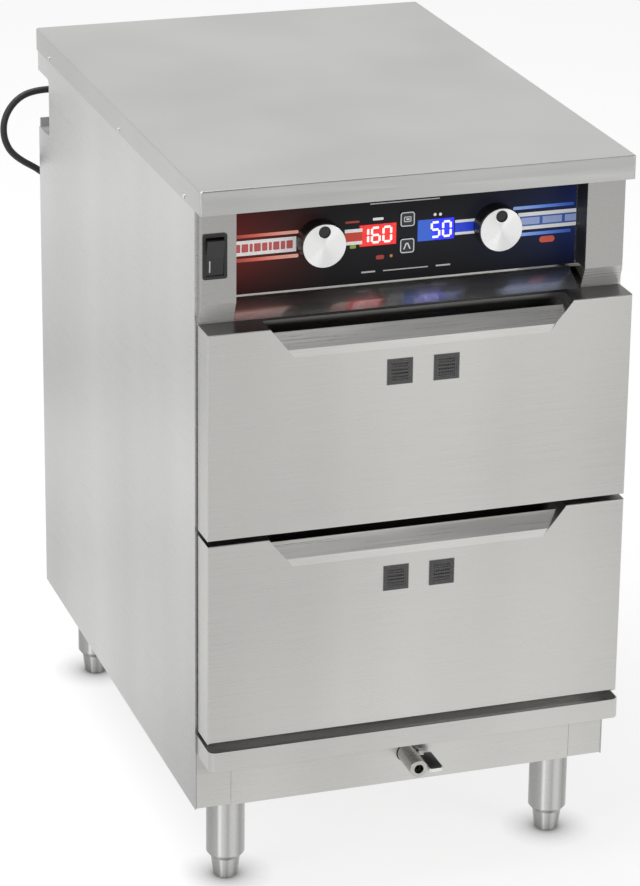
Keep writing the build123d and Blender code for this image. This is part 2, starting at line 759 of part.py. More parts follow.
def carriage_slide_half_height():
    return SLIDE_HALF_HEIGHT - 3 * SLIDE_SHEET - 2 * SLIDE_NEST


# ---- drawers ----


def rim_height(name):
    """Top of the carriage, where the pan's rim rests."""
    return DRAWER_BOTTOMS[name] + DRAWER_FRONT_HEIGHT - RIM_BELOW_FRONT_TOP


def front_planes():
    """Front and rear planes of a drawer front."""
    return FRONT - DRAWER_FRONT_REACH, FRONT - DRAWER_FRONT_GAP


def pull_ends(top, grow=0.0):
    """Outline of the finger pull seen from the front, wider at the top."""
    fold = top - PULL_FOLD_DROP
    low = fold - PULL_BEVEL - PULL_POCKET_FLOOR - 4
    fold_half = PULL_HALF_WIDTH + grow
    top_half = fold_half + PULL_SLANT * (PULL_FOLD_DROP + 2)
    low_half = fold_half - PULL_SLANT * (fold - low)
    return [(-low_half, low), (low_half, low), (top_half, top + 2), (-top_half, top + 2)]


def pull_pocket(top, grow=0.0):
    """Space of the finger pull: the bevel, the room over the flap and the pocket behind it."""
    front, rear = front_planes()
    fold = top - PULL_FOLD_DROP
    bevel_foot = fold - PULL_BEVEL
    section = [
        (front - 5, top + 3),
        (front - 5, bevel_foot - grow),
        (front, bevel_foot - grow),
        (front + PULL_BEVEL_DEPTH + grow, fold - grow),
        (front + PULL_FLAP_SET_BACK, fold - PULL_POCKET_FLOOR - grow),
        (front + PULL_POCKET_BACK + grow, fold - PULL_POCKET_FLOOR - grow),
        (front + PULL_POCKET_BACK + grow, top + 3),
    ]
    body = prism_x(section, -HALF, HALF)
    ends = prism_y(pull_ends(top, grow), front - 6, rear)
    return body & ends


def pull_flap(top):
    """Flap of the finger pull, folded back from the front sheet."""
    front, rear = front_planes()
    fold = top - PULL_FOLD_DROP
    start = front + PULL_BEVEL_DEPTH
    tip = front + PULL_FLAP_SET_BACK
    section = [
        (start, fold),
        (tip, fold + PULL_FLAP_RISE),
        (tip + 2 * SHEET, fold + PULL_FLAP_RISE - 0.4),
        (tip + 2 * SHEET, fold + PULL_FLAP_RISE - 4),
        (start + SHEET, fold - 1.6),
    ]
    body = prism_x(section, -HALF, HALF)
    return body & prism_y(pull_ends(top, SHEET / 2), front - 6, rear)


def vent_places(name):
    z = DRAWER_BOTTOMS[name] + DRAWER_FRONT_HEIGHT - VENT_DROP
    return [(-VENT_SPACING / 2, z), (VENT_SPACING / 2, z)]


def drawer_front(name):
    """Front shell of a drawer, with the folded finger pull in its top edge."""
    front, rear = front_planes()
    z0 = DRAWER_BOTTOMS[name]
    top = z0 + DRAWER_FRONT_HEIGHT
    half = HALF - DRAWER_SIDE_GAP
    block = slab(-half, half, front, rear, z0, top)
    block = fillet(block.faces().sort_by(Axis.Y)[0].edges(), 1.8)
    hollow = slab(-half + SHEET, half - SHEET, front + SHEET, rear + 5, z0 + SHEET, top - SHEET)
    shell = block - hollow
    shell += block & pull_pocket(top, SHEET)
    shell -= pull_pocket(top)
    shell += pull_flap(top) & slab(-half, half, front, rear, z0, top)
    for x, z in vent_places(name):
        shell -= Pos(x, front, z) * Box(VENT_SIZE - 3, 6 * SHEET, VENT_SIZE - 3)
    return shell


def vent_plate(x, z):
    """Square louvred plate let into the front."""
    front = FRONT - DRAWER_FRONT_REACH
    plate = slab(-VENT_SIZE / 2, VENT_SIZE / 2, -VENT_PROUD, 0, -VENT_SIZE / 2, VENT_SIZE / 2)
    inner = VENT_SIZE - 3 - 2 * SEAM
    plate += slab(-inner / 2, inner / 2, 0, VENT_PLATE, -inner / 2, inner / 2)
    pitch = inner / (VENT_SLOTS + 1)
    for row in range(VENT_SLOTS):
        z_slot = -inner / 2 + (row + 1) * pitch
        plate -= Pos(0, 0, z_slot) * Box(inner - 6, 6, VENT_SLOT)
    return Pos(x, front, z) * plate


def vent_plates(name):
    return [vent_plate(x, z) for x, z in vent_places(name)]


def drawer_core(name):
    """Insulating block inside the front shell, cut away round the finger pull."""
    front, rear = front_planes()
    z0 = DRAWER_BOTTOMS[name]
    top = z0 + DRAWER_FRONT_HEIGHT
    half = HALF - DRAWER_SIDE_GAP - SHEET - SEAM
    back = rear - SHEET - SEAM
    core = slab(-half, half, front + 4, back, z0 + SHEET + SEAM, top - PULL_FOLD_DROP - 24)
    return core


def gasket_ring(name):
    """Bottom, top and half width of the seal round the opening."""
    z0, z1 = front_opening(name)
    return z0 - GASKET_MARGIN, z1 + GASKET_MARGIN, OPENING_HALF_WIDTH + GASKET_SIDE_MARGIN


def drawer_gasket(name):
    """Soft seal on the back of the drawer front."""
    z0, z1, half = gasket_ring(name)
    y0 = FRONT - DRAWER_FRONT_GAP
    y1 = FRAME_FACE - FIT
    outer = slab(-half - GASKET_WIDTH, half + GASKET_WIDTH, y0, y1, z0 - GASKET_WIDTH, z1 + GASKET_WIDTH)
    outer = fillet(outer.edges().filter_by(Axis.Y), 6)
    return outer - slab(-half, half, y0 - 1, y1 + 1, z0, z1)


def drawer_carriage(name):
    """Back plate of the front, with the welded frame that carries the pan and runs on the slides."""
    front, rear = front_planes()
    z0 = DRAWER_BOTTOMS[name]
    half = HALF - DRAWER_SIDE_GAP - SHEET - SEAM
    top = z0 + DRAWER_FRONT_HEIGHT
    plate = slab(-half, half, rear - SHEET, rear, z0 + SHEET + SEAM, top - SHEET - SEAM)
    rim = rim_height(name)
    low = rim - CARRIAGE_HEIGHT
    y1 = CARRIAGE_END
    wall_x = CARRIAGE_HALF_WIDTH
    shelf_x = PAN_RIM_WIDTH / 2 - PAN_SUPPORT_OVERLAP
    pan_front = FRONT + PAN_START
    pan_rear = pan_front + PAN_RIM_LENGTH
    frame = slab(-wall_x, wall_x, rear, y1, low, rim)
    frame -= slab(
        -wall_x + CARRIAGE_SHEET, wall_x - CARRIAGE_SHEET, rear - 1, y1 - CARRIAGE_SHEET, low - 1, rim - CARRIAGE_SHEET
    )
    frame -= slab(
        -shelf_x,
        shelf_x,
        pan_front + PAN_SUPPORT_OVERLAP,
        pan_rear - PAN_SUPPORT_OVERLAP,
        rim - 10,
        rim + 1,
    )
    carriage = plate + frame
    z = slide_height(name)
    channel_top = carriage_slide_half_height()
    y_start = FRONT + SLIDE_START
    for side in (-1, 1):
        web = side * wall_x
        lip = side * (wall_x + 4.6)
        x_face = side * (wall_x + SLIDE_SHEET)
        carriage += slab(web, x_face, y_start, y1, z - channel_top, z + channel_top)
        carriage += slab(web, lip, y_start, y1, z + channel_top - SLIDE_SHEET, z + channel_top)
        carriage += slab(web, lip, y_start, y1, z - channel_top, z - channel_top + SLIDE_SHEET)
    return carriage


def rounded_rect(width, length, radius, z):
    return Pos(0, 0, z) * RectangleRounded(width, length, radius)


def drawer_pan(name):
    """Deep food pan with a flat rim and sides that narrow towards the floor."""
    middle = FRONT + PAN_START + PAN_RIM_LENGTH / 2
    width = PAN_RIM_WIDTH - 2 * PAN_RIM_FLAT
    length = PAN_RIM_LENGTH - 2 * PAN_RIM_FLAT
    low_width = width - 2 * PAN_DRAFT
    low_length = length - 2 * PAN_DRAFT
    body = loft(
        [
            rounded_rect(low_width, low_length, PAN_CORNER, -PAN_DEPTH),
            rounded_rect(width, length, PAN_CORNER, 0),
        ]
    )
    rim = extrude(
        rounded_rect(PAN_RIM_WIDTH, PAN_RIM_LENGTH, PAN_RIM_CORNER, 0), amount=PAN_RIM_THICKNESS
    )
    shrink = 2 * PAN_WALL
    slope = PAN_DRAFT / PAN_DEPTH
    extra = 2 * slope * 5
    space = loft(
        [
            rounded_rect(low_width - shrink, low_length - shrink, PAN_CORNER - PAN_WALL, -PAN_DEPTH + PAN_WALL),
            rounded_rect(width - shrink + extra, length - shrink + extra, PAN_CORNER - PAN_WALL, 5),
        ]
    )
    return Pos(0, middle, rim_height(name)) * (body + rim - space)


# ---- control head ----


def fascia():
    """Folded front frame of the controls, open at the window down to the ledge."""
    half = HALF - FASCIA_SIDE_GAP
    y_face = FRONT - FASCIA_PROUD
    bend = FASCIA_BEND
    low = FASCIA_FOOT
    top = TOP - SHEET - SEAM
    outer = prism_x(
        [(FRONT, low), (y_face, bend), (y_face, top), (FRONT + FASCIA_LIP, top), (FRONT + FASCIA_LIP, low)],
        -half,
        half,
    )
    outer = fillet(outer.edges().filter_by(Axis.Z).group_by(Axis.Y)[0], 2.5)
    inner = prism_x(
        [
            (FRONT + 0.6 * SHEET, low + SHEET),
            (y_face + SHEET, bend + 0.25 * SHEET),
            (y_face + SHEET, top + 1),
            (FRONT + FASCIA_LIP + 1, top + 1),
            (FRONT + FASCIA_LIP + 1, low + SHEET),
        ],
        -half + SHEET,
        half - SHEET,
    )
    frame = outer - inner
    frame -= slab(-WINDOW_LEFT, WINDOW_RIGHT, y_face - 1, FRONT + 20, low - 1, WINDOW_TOP)
    hole_width = ROCKER_WIDTH - 2 * ROCKER_BEZEL_LAP
    hole_height = ROCKER_HEIGHT - 2 * ROCKER_BEZEL_LAP
    frame -= Pos(ROCKER_X, y_face, ROCKER_Z) * Box(hole_width, 6 * SHEET, hole_height)
    return frame


def ledge_slope():
    """Rise of the ledge for each millimetre towards the back."""
    return LEDGE_RISE / (PANEL_BACK - FRONT)


def control_recess():
    """Folded box behind the window: sloping ledge, back wall and two ends."""
    y_face = FRONT - FASCIA_PROUD + SHEET + SEAM
    low = FASCIA_FOOT
    ledge_back = LEDGE_BACK
    top = TOP - SHEET - SEAM
    ledge_left = -WINDOW_LEFT + SEAM
    ledge_right = WINDOW_RIGHT - SEAM
    ledge = prism_x(
        [
            (FRONT, low),
            (FRONT, low + SHEET),
            (PANEL_BACK, ledge_back + SHEET),
            (RECESS_BACK, ledge_back + SHEET),
            (RECESS_BACK, ledge_back),
        ],
        ledge_left,
        ledge_right,
    )
    back = slab(-RECESS_HALF_WIDTH, RECESS_HALF_WIDTH, PANEL_BACK, RECESS_BACK, ledge_back, top)
    end_foot = FRONT + FASCIA_LIP + SEAM
    end_foot_z = low + SHEET + SEAM + (end_foot - FRONT) * ledge_slope()
    end_section = [
        (y_face, FASCIA_BEND + 3),
        (end_foot, end_foot_z + 10),
        (end_foot, end_foot_z),
        (RECESS_BACK, ledge_back),
        (RECESS_BACK, top),
        (y_face, top),
    ]
    left = prism_x(end_section, -RECESS_HALF_WIDTH - SHEET, -RECESS_HALF_WIDTH)
    right = prism_x(end_section, RECESS_HALF_WIDTH, RECESS_HALF_WIDTH + SHEET)
    box = ledge + back + left + right
    for cut in panel_cuts(PANEL_BACK - 1, RECESS_BACK + 1):
        box -= cut
    return box


def knob_places():
    return {
        "left": (CONTROL_CENTRE - KNOB_SPACING, CONTROL_Z),
        "right": (CONTROL_CENTRE + KNOB_SPACING, CONTROL_Z),
    }


def display_places():
    return {
        "red": (CONTROL_CENTRE - DISPLAY_SPACING, CONTROL_Z),
        "blue": (CONTROL_CENTRE + DISPLAY_SPACING, CONTROL_Z),
    }


def button_places():
    return {
        "upper": (CONTROL_CENTRE, CONTROL_Z + BUTTON_SPACING),
        "lower": (CONTROL_CENTRE, CONTROL_Z - BUTTON_SPACING),
    }


def panel_cuts(y0, y1):
    """Holes for the knob bushes, the displays and the buttons."""
    cuts = []
    for x, z in knob_places().values():
        cuts.append(rod((x, y0, z), (x, y1, z), ENCODER_BUSH_RADIUS + SEAM))
    for x, z in display_places().values():
        half_w = DISPLAY_WIDTH / 2 + SEAM
        half_h = DISPLAY_HEIGHT / 2 + SEAM
        cuts.append(slab(x - half_w, x + half_w, y0, y1, z - half_h, z + half_h))
    for x, z in button_places().values():
        half = BUTTON_SIZE / 2 + FIT
        cuts.append(slab(x - half, x + half, y0, y1, z - half, z + half))
    return cuts


def control_panel():
    """Dark front plate of the controls, against the recess's back wall."""
    half = RECESS_HALF_WIDTH - SEAM
    panel = slab(-half, half, PANEL_FACE, PANEL_BACK, PANEL_BOTTOM, PANEL_TOP)
    for cut in panel_cuts(PANEL_FACE - 1, PANEL_BACK + 1):
        panel -= cut
    return panel


def board_face():
    return RECESS_BACK + BOARD_GAP


def control_board():
    """Circuit board on four posts behind the recess."""
    y0 = board_face()
    z0 = PANEL_BOTTOM + BOARD_MARGIN
    z1 = PANEL_TOP - BOARD_MARGIN
    board = slab(
        CONTROL_CENTRE - BOARD_HALF_WIDTH, CONTROL_CENTRE + BOARD_HALF_WIDTH, y0, y0 + BOARD_THICKNESS, z0, z1
    )
    for side in (-1, 1):
        x = CONTROL_CENTRE + side * (BOARD_HALF_WIDTH - 6)
        for z in (z0 + 6, z1 - 6):
            board += rod((x, RECESS_BACK, z), (x, y0, z), STANDOFF_RADIUS)
    for x in (-95, -60, 60, 95):
        board += slab(x - 12, x + 12, y0 + BOARD_THICKNESS, y0 + BOARD_THICKNESS + 14, z0 + 8, z0 + 30)
    return board


def display(name):
    """Numeric display module, flush in the panel and seated on the board."""
    x, z = display_places()[name]
    half_w = DISPLAY_WIDTH / 2
    half_h = DISPLAY_HEIGHT / 2
    return slab(x - half_w, x + half_w, PANEL_FACE + 0.2, board_face(), z - half_h, z + half_h)


def encoders():
    """Rotary encoders behind the knobs, each with its bush through the panel."""
    pieces = []
    for x, z in knob_places().values():
        y0 = RECESS_BACK
        half = ENCODER_SIZE / 2
        body = slab(x - half, x + half, y0, y0 + ENCODER_LENGTH, z - half, z + half)
        body += rod((x, PANEL_FACE - 1, z), (x, y0, z), ENCODER_BUSH_RADIUS)
        y_shaft = (x, PANEL_FACE - 5, z)
        body -= rod(y_shaft, (x, y0 + ENCODER_LENGTH - 2, z), KNOB_SHAFT_RADIUS + PIN_FIT)
        pieces.append(body)
    return pieces


def knob(name):
    """Round knob with a sunk dot near its rim and a shaft that runs in the encoder."""
    x, z = knob_places()[name]
    y_back = PANEL_FACE - 1.4
    y_front = y_back - KNOB_LENGTH
    body = rod((x, y_back, z), (x, y_front, z), KNOB_RADIUS)
    body = chamfer(body.faces().sort_by(Axis.Y)[0].edges(), KNOB_EDGE)
    dot = (x, y_front - 1, z + KNOB_DOT_OFFSET)
    body -= rod(dot, (x, y_front + KNOB_DOT_DEPTH, z + KNOB_DOT_OFFSET), KNOB_DOT_RADIUS)
    body += rod((x, y_back, z), (x, RECESS_BACK + ENCODER_LENGTH - 3, z), KNOB_SHAFT_RADIUS)
    return body


def button(name):
    """Square push button with a stem back towards its switch on the board."""
    x, z = button_places()[name]
    half = BUTTON_SIZE / 2
    y0 = PANEL_FACE - BUTTON_PROUD
    cap = slab(x - half, x + half, y0, RECESS_BACK + 1, z - half, z + half)
    cap = fillet(cap.edges().filter_by(Axis.Y), 2.5)
    stem_end = board_face() - BUTTON_TRAVEL - FIT
    return cap + rod((x, RECESS_BACK + 1, z), (x, stem_end, z), BUTTON_STEM_RADIUS)


def rocker_housing():
    """Bezel and body of the mains switch, let into the fascia."""
    y_face = FRONT - FASCIA_PROUD
    x, z = ROCKER_X, ROCKER_Z
    half_w = ROCKER_WIDTH / 2
    half_h = ROCKER_HEIGHT / 2
    bezel = slab(x - half_w, x + half_w, y_face - ROCKER_BEZEL, y_face, z - half_h, z + half_h)
    bezel = fillet(bezel.edges().filter_by(Axis.Y), 2.5)
    body_w = half_w - ROCKER_BEZEL_LAP - SEAM
    body_h = half_h - ROCKER_BEZEL_LAP - SEAM
    depth = ROCKER_BODY_DEPTH
    housing = bezel + slab(x - body_w, x + body_w, y_face, y_face + depth, z - body_h, z + body_h)
    well_w = half_w - ROCKER_RIM
    well_h = half_h - ROCKER_RIM
    housing -= slab(x - well_w, x + well_w, y_face - 5, y_face + depth - SHEET, z - well_h, z + well_h)
    pivot_y, pivot_z = rocker_axis()
    reach = well_w + ROCKER_PIN_REACH + SEAM / 2
    hole = rod((x - reach, pivot_y, pivot_z), (x + reach, pivot_y, pivot_z), ROCKER_PIN_RADIUS + PIN_FIT)
    return housing - hole


def rocker_axis():
    """Place of the rocker's pivot in Y and Z."""
    return FRONT - FASCIA_PROUD + ROCKER_PIVOT_DEPTH, ROCKER_Z


def power_rocker():
    """Rocker paddle, dished, with its upper half pressed in."""
    pivot_y, z = rocker_axis()
    y_face = FRONT - FASCIA_PROUD
    half_w = ROCKER_WIDTH / 2 - ROCKER_RIM - FIT
    half_h = ROCKER_HEIGHT / 2 - ROCKER_RIM - 1.0
    crown = y_face - ROCKER_BEZEL - ROCKER_PADDLE_REACH
    waist = y_face - ROCKER_BEZEL + 0.3
    section = [
        (pivot_y, z - half_h * 0.45),
        (crown + 3.2, z - half_h),
        (crown, z - half_h),
        (waist, z),
        (crown, z + half_h),
        (crown + 3.2, z + half_h),
        (pivot_y, z + half_h * 0.45),
    ]
    paddle = prism_x(section, ROCKER_X - half_w, ROCKER_X + half_w)
    turned = Rotation(ROCKER_TILT, 0, 0) * (Pos(0, -pivot_y, -z) * paddle)
    reach = ROCKER_WIDTH / 2 - ROCKER_RIM + ROCKER_PIN_REACH
    pin = rod((ROCKER_X - reach, pivot_y, z), (ROCKER_X + reach, pivot_y, z), ROCKER_PIN_RADIUS)
    return Pos(0, pivot_y, z) * turned + pin


def terminal_block():
    """Relay and terminal block in the space over the cavity."""
    z0 = CAVITY_CEILING + SHEET + BLANKET_GAP + TOP_BLANKET
    y0 = FRONT + TERMINAL_START
    block = slab(-TERMINAL_WIDTH / 2, TERMINAL_WIDTH / 2, y0, y0 + TERMINAL_DEPTH, z0, z0 + TERMINAL_HEIGHT)
    pitch = TERMINAL_WIDTH / (TERMINAL_SLOTS + 1)
    half = TERMINAL_SLOT_WIDTH / 2
    slot_floor = z0 + TERMINAL_HEIGHT - TERMINAL_SLOT_DEPTH
    for n in range(TERMINAL_SLOTS):
        x = -TERMINAL_WIDTH / 2 + (n + 1) * pitch
        block -= slab(x - half, x + half, y0 - 1, y0 + TERMINAL_SLOT_LENGTH, slot_floor, z0 + TERMINAL_HEIGHT + 1)
    return block


# ---- drain ----


def drain_axis_z():
    return BASE + DRAIN_HEIGHT


def ball_centre():
    return DRAIN_X, FRONT - BALL_PLACE, drain_axis_z()


def drain_pipe():
    """Pipe from the tank's floor down and forward to the valve."""
    z_top = CAVITY_FLOOR - TANK_DEPTH
    z = drain_axis_z()
    y_drop = FRONT + DRAIN_PIPE_DROP_AT
    points = [(DRAIN_X, y_drop, z_top), (DRAIN_X, y_drop, z), (DRAIN_X, FRONT + VALVE_BODY_REAR, z)]
    path = FilletPolyline(*points, radius=12)
    outer = sweep(Plane(origin=path @ 0, z_dir=path % 0) * Circle(DRAIN_PIPE_RADIUS), path=path)
    bore_radius = DRAIN_PIPE_RADIUS - DRAIN_PIPE_WALL
    return outer - sweep(Plane(origin=path @ 0, z_dir=path % 0) * Circle(bore_radius), path=path)


def drain_valve_body():
    """Straight valve body with its spout, the ball's chamber and the stem's hole."""
    x, y_ball, z = ball_centre()
    y0 = FRONT - SPOUT_REACH
    y1 = FRONT + VALVE_BODY_REAR
    body = rod((x, y0, z), (x, y1, z), SPOUT_RADIUS)
    body = fillet(body.faces().sort_by(Axis.Y)[0].edges(), 1.0)
    body -= rod((x, y0 - 1, z), (x, y0 + SPOUT_BORE_DEPTH, z), SPOUT_BORE)
    body -= rod((x, y0, z), (x, y1 + 1, z), BALL_BORE)
    body -= Pos(x, y_ball, z) * Sphere(BALL_RADIUS + FIT)
    body -= rod((x, y_ball, z), (x + SPOUT_RADIUS + 2, y_ball, z), VALVE_STEM_RADIUS + FIT)
    return body


def drain_ball():
    """Ball of the valve with its stem out to the lever."""
    x, y, z = ball_centre()
    ball = Pos(x, y, z) * Sphere(BALL_RADIUS)
    ball -= rod((x, y - BALL_RADIUS - 1, z), (x, y + BALL_RADIUS + 1, z), BALL_BORE)
    return ball + rod((x + BALL_BORE + 1, y, z), (x + SPOUT_RADIUS + 1.5, y, z), VALVE_STEM_RADIUS)


def drain_lever():
    """Paddle lever beside the spout."""
    x, y, z = ball_centre()
    x0 = x + SPOUT_RADIUS + 1.5
    hub = rod((x0, y, z), (x0 + 5, y, z), LEVER_HUB_RADIUS)
    z_blade = z - LEVER_BLADE_LIFT
    y0 = y - LEVER_BLADE_LENGTH
    y1 = y + LEVER_BLADE_TAIL
    half = LEVER_BLADE_THICKNESS / 2
    blade = slab(x0, x0 + LEVER_BLADE_WIDTH, y0, y1, z_blade - half, z_blade + half)
    blade = fillet(blade.edges().filter_by(Axis.Z).group_by(Axis.Y)[0], 4)
    blade = fillet(blade.edges().filter_by(Axis.Z).group_by(Axis.Y)[-1], 2)
    return hub + blade


# ---- mains cord ----


def strain_relief():
    """Gland flange on the recess wall and the tapered sleeve that the cord leaves."""
    z = GLAND_Z
    start = RECESS_WALL
    flange = rod((GLAND_X, start, z), (GLAND_X, start + GLAND_FLANGE, z), GLAND_FLANGE_RADIUS)
    neck = rod((GLAND_X, start - 6, z), (GLAND_X, start, z), GLAND_BASE_RADIUS - SEAM)
    sleeve_place = Plane(origin=(GLAND_X, start + GLAND_FLANGE, z), z_dir=(0, 1, 0))
    sleeve_length = GLAND_LENGTH - GLAND_FLANGE
    sleeve = loft(
        [
            sleeve_place * Circle(GLAND_BASE_RADIUS),
            sleeve_place.offset(sleeve_length) * Circle(GLAND_TIP_RADIUS),
        ]
    )
    return flange + neck + sleeve


def coil_centre():
    return COIL_X, BACK + COIL_BEHIND


def coil_start():
    x, y = coil_centre()
    return Vector(x, y - COIL_OUTER_RADIUS, CORD_REST)


def cord_loop():
    """Route from the gland, out and round the loop that hangs beside the cabinet's back edge."""
    z = GLAND_Z
    return [
        (GLAND_X, RECESS_WALL + GLAND_LENGTH, z),
        (GLAND_X, BACK + 4, z),
        (GLAND_X - 12.7, BACK + 25.8, z + 0.2),
        (GLAND_X - 34.8, BACK + 38.2, z + 0.5),
        (GLAND_X - 79, BACK + 37.8, z),
        (GLAND_X - 101, BACK + 36.8, z - 12.8),
        (GLAND_X - 114, BACK + 35.4, z - 34.8),
        (GLAND_X - 114, BACK + 34, z - 60),
        (GLAND_X - 101.5, BACK + 33, z - 82),
        (GLAND_X - 63, BACK + 33, z - 105),
        (GLAND_X - 48, BACK + 33, z - 131),
    ]


def cord_fall(top):
    """Route from the loop's end down behind the cabinet, with its slow sideways drift."""
    foot_x = GLAND_X - 5
    foot_z = CORD_REST + 86
    drift = [(0.07, 0.27, 32), (0.18, 0.5, 30), (0.38, 0.7, 27), (0.59, 0.82, 25), (0.81, 0.93, 22)]
    points = []
    for drop, shift, out in drift:
        x = top[0] + (foot_x - top[0]) * shift
        z = top[2] + (foot_z - top[2]) * drop
        points.append((x, BACK + out, z))
    return points + [(foot_x, BACK + 21, foot_z)]


def cord_landing():
    """Route from upright, round onto the floor and along it to the coil."""
    end = coil_start()
    lead_x = end.X - 2 * CORD_RADIUS
    floor_x = lead_x - 50
    return [
        (floor_x - 35.5, BACK + 20.6, CORD_REST + 35.8),
        (floor_x - 22.6, BACK + 20.6, CORD_REST + 13),
        (floor_x, BACK + 20.6, CORD_REST),
        (floor_x + 26, end.Y, CORD_REST),
        (lead_x, end.Y, CORD_REST),
    ]


def cord_route():
    """Whole free route: the loop at the back edge, the fall and the stretch on the floor."""
    loop = cord_loop()
    fall = cord_fall(loop[-1])
    return loop + fall + cord_landing()


def turn_radii(points):
    """Largest radius that each corner's two runs allow."""
    radii = []
    for before, corner, after in zip(points, points[1:], points[2:]):
        run_in = Vector(*corner) - Vector(*before)
        run_out = Vector(*after) - Vector(*corner)
        cosine = run_in.dot(run_out) / (run_in.length * run_out.length)
        turn = acos(max(-1.0, min(1.0, cosine)))
        radii.append(0.45 * min(run_in.length, run_out.length) / tan(turn / 2))
    return radii


def cord_run():
    """Tube along the free route: straight runs joined by tangent arcs."""
    points = cord_route()
    radii = turn_radii(points)
    path = FilletPolyline(*points, radius=radii)
    section = Plane(origin=path @ 0, z_dir=path % 0) * Circle(CORD_RADIUS)
    tube = sweep(section, path=path)
    expected = pi * CORD_RADIUS**2 * path.length
    print("cord radii", [round(r) for r in radii])
    print("cord length", round(path.length), "volume ratio", round(tube.volume / expected, 5))
    return tube


def coil_point(turns):
    """Point of the coil after a number of turns: in on the floor, then out one layer up."""
    half_way = COIL_TURNS / 2
    offset = turns - half_way
    swing = sqrt(offset**2 + (COIL_BLEND / 4) ** 2)
    full = sqrt(half_way**2 + (COIL_BLEND / 4) ** 2)
    radius = COIL_OUTER_RADIUS - COIL_PITCH * (full - swing)
    share = min(1.0, max(0.0, offset / 0.5 + 0.5))
    climb = share * share * (3 - 2 * share)
    angle = 2 * pi * turns - pi / 2
    x, y = coil_centre()
    return Vector(x + radius * cos(angle), y + radius * sin(angle), CORD_REST + COIL_LAYER * climb)


def coil_heading(turns):
    step = 1e-4
    if turns <= step:
        return Vector(1, 0, 0)
    if turns >= COIL_TURNS - step:
        return Vector(1, 0, 0)
    return (coil_point(turns + step) - coil_point(turns - step)).normalized()


def arc_pair(p0, t0, p1, t1):
    """Two arcs that leave p0 along t0, meet smoothly and reach p1 along t1."""
    span = p1 - p0
    total = t0 + t1
    spread = 2 * (1 - t0.dot(t1))
    along = span.dot(total)
    reach = (-along + sqrt(along**2 + spread * span.dot(span))) / spread
    knee_in = p0 + t0 * reach
    knee_out = p1 - t1 * reach
    middle = (knee_in + knee_out) * 0.5
    return [TangentArc(p0, middle, tangent=t0), TangentArc(middle, p1, tangent=knee_out - knee_in)]


def coil_path():
    """Straight lead, the turns as pairs of arcs, and the straight tail to the plug."""
    start = coil_start()
    edges = [Line(start - Vector(2 * CORD_RADIUS, 0, 0), start)]
    count = COIL_TURNS * COIL_STATIONS
    stations = [n / COIL_STATIONS for n in range(count + 1)]
    for a, b in zip(stations, stations[1:]):
        edges += arc_pair(coil_point(a), coil_heading(a), coil_point(b), coil_heading(b))
    end = coil_point(COIL_TURNS)
    edges.append(Line(end, end + Vector(COIL_TAIL, 0, 0)))
    return Wire([edge.edge() for edge in edges])


def cord_coil():
    """Put-away length of the cord: one unbroken tube in two layers."""
    path = coil_path()
    section = Plane(origin=path @ 0, z_dir=path % 0) * Circle(CORD_RADIUS)
    tube = sweep(section, path=path)
    expected = pi * CORD_RADIUS**2 * path.length
    print("coil length", round(path.length), "volume ratio", round(tube.volume / expected, 5))
    print("coil gap", round(coil_gap(), 2))
    return tube


def coil_gap():
    """Least gap between turns, from points along the coil."""
    per_turn = 48
    count = COIL_TURNS * per_turn
    points = [coil_point(n / per_turn) for n in range(count + 1)]
    tail_steps = int(COIL_TAIL / 2)
    points += [points[count] + Vector(2.0 * n, 0, 0) for n in range(1, tail_steps)]
    least = 1e9
    for i, first in enumerate(points):
        for second in points[i + per_turn // 2 :]:
            least = min(least, (second - first).length)
    return least - 2 * CORD_RADIUS


def cord_tie():
    """Flat strap round the bundle of turns, on the side away from the cabinet."""
    x, y = coil_centre()
    reach = CORD_RADIUS + TIE_GAP
    inner = COIL_OUTER_RADIUS - COIL_PITCH * COIL_TURNS / 2 - reach
    outer = COIL_OUTER_RADIUS + reach
    low = CORD_REST - reach
    high = CORD_REST + COIL_LAYER + reach
    y0 = y + inner - TIE_THICKNESS
    y1 = y + outer + TIE_THICKNESS
    x0 = x - TIE_WIDTH / 2
    x1 = x + TIE_WIDTH / 2
    strap = slab(x0, x1, y0, y1, low - TIE_THICKNESS, high + TIE_THICKNESS)
    strap = fillet(strap.edges().filter_by(Axis.X), 3)
    hole = slab(x0 - 1, x1 + 1, y0 + TIE_THICKNESS, y1 - TIE_THICKNESS, low, high)
    return strap - fillet(hole.edges().filter_by(Axis.X), 2.2)


def plug_base():
    """Point where the cord enters the plug's boot."""
    return coil_point(COIL_TURNS) + Vector(COIL_TAIL, 0, 0)


def power_plug():
    """Moulded plug lying on the floor, with a tapered boot, two blades and a round pin."""
    base = plug_base()
    place = Plane(origin=base, x_dir=(0, 1, 0), z_dir=(1, 0, 0))
    boot = loft([place * Circle(GLAND_TIP_RADIUS), place.offset(PLUG_BOOT) * Circle(8)])
    body_place = place.offset(PLUG_BOOT)
    body = loft(
        [
            body_place * RectangleRounded(PLUG_WIDTH - 12, PLUG_HEIGHT - 7, PLUG_CORNER),
            body_place.offset(12) * RectangleRounded(PLUG_WIDTH, PLUG_HEIGHT, PLUG_CORNER),
        ]
    )
    body += extrude(
        body_place.offset(12) * RectangleRounded(PLUG_WIDTH, PLUG_HEIGHT, PLUG_CORNER), amount=PLUG_LENGTH - 12
    )
    face_x = base.X + PLUG_BOOT + PLUG_LENGTH
    plug = boot + body
    for side in (-1, 1):
        y = base.Y + side * PLUG_BLADE_SPACING / 2
        z = base.Z + 3
        plug += slab(face_x - 1, face_x + PLUG_BLADE_LENGTH, y - 0.8, y + 0.8, z - 3.2, z + 3.2)
    pin_z = base.Z - 7
    plug += rod((face_x - 1, base.Y, pin_z), (face_x + PLUG_BLADE_LENGTH + 3, base.Y, pin_z), PLUG_PIN_RADIUS)
    return plug


# ---- write every piece ----


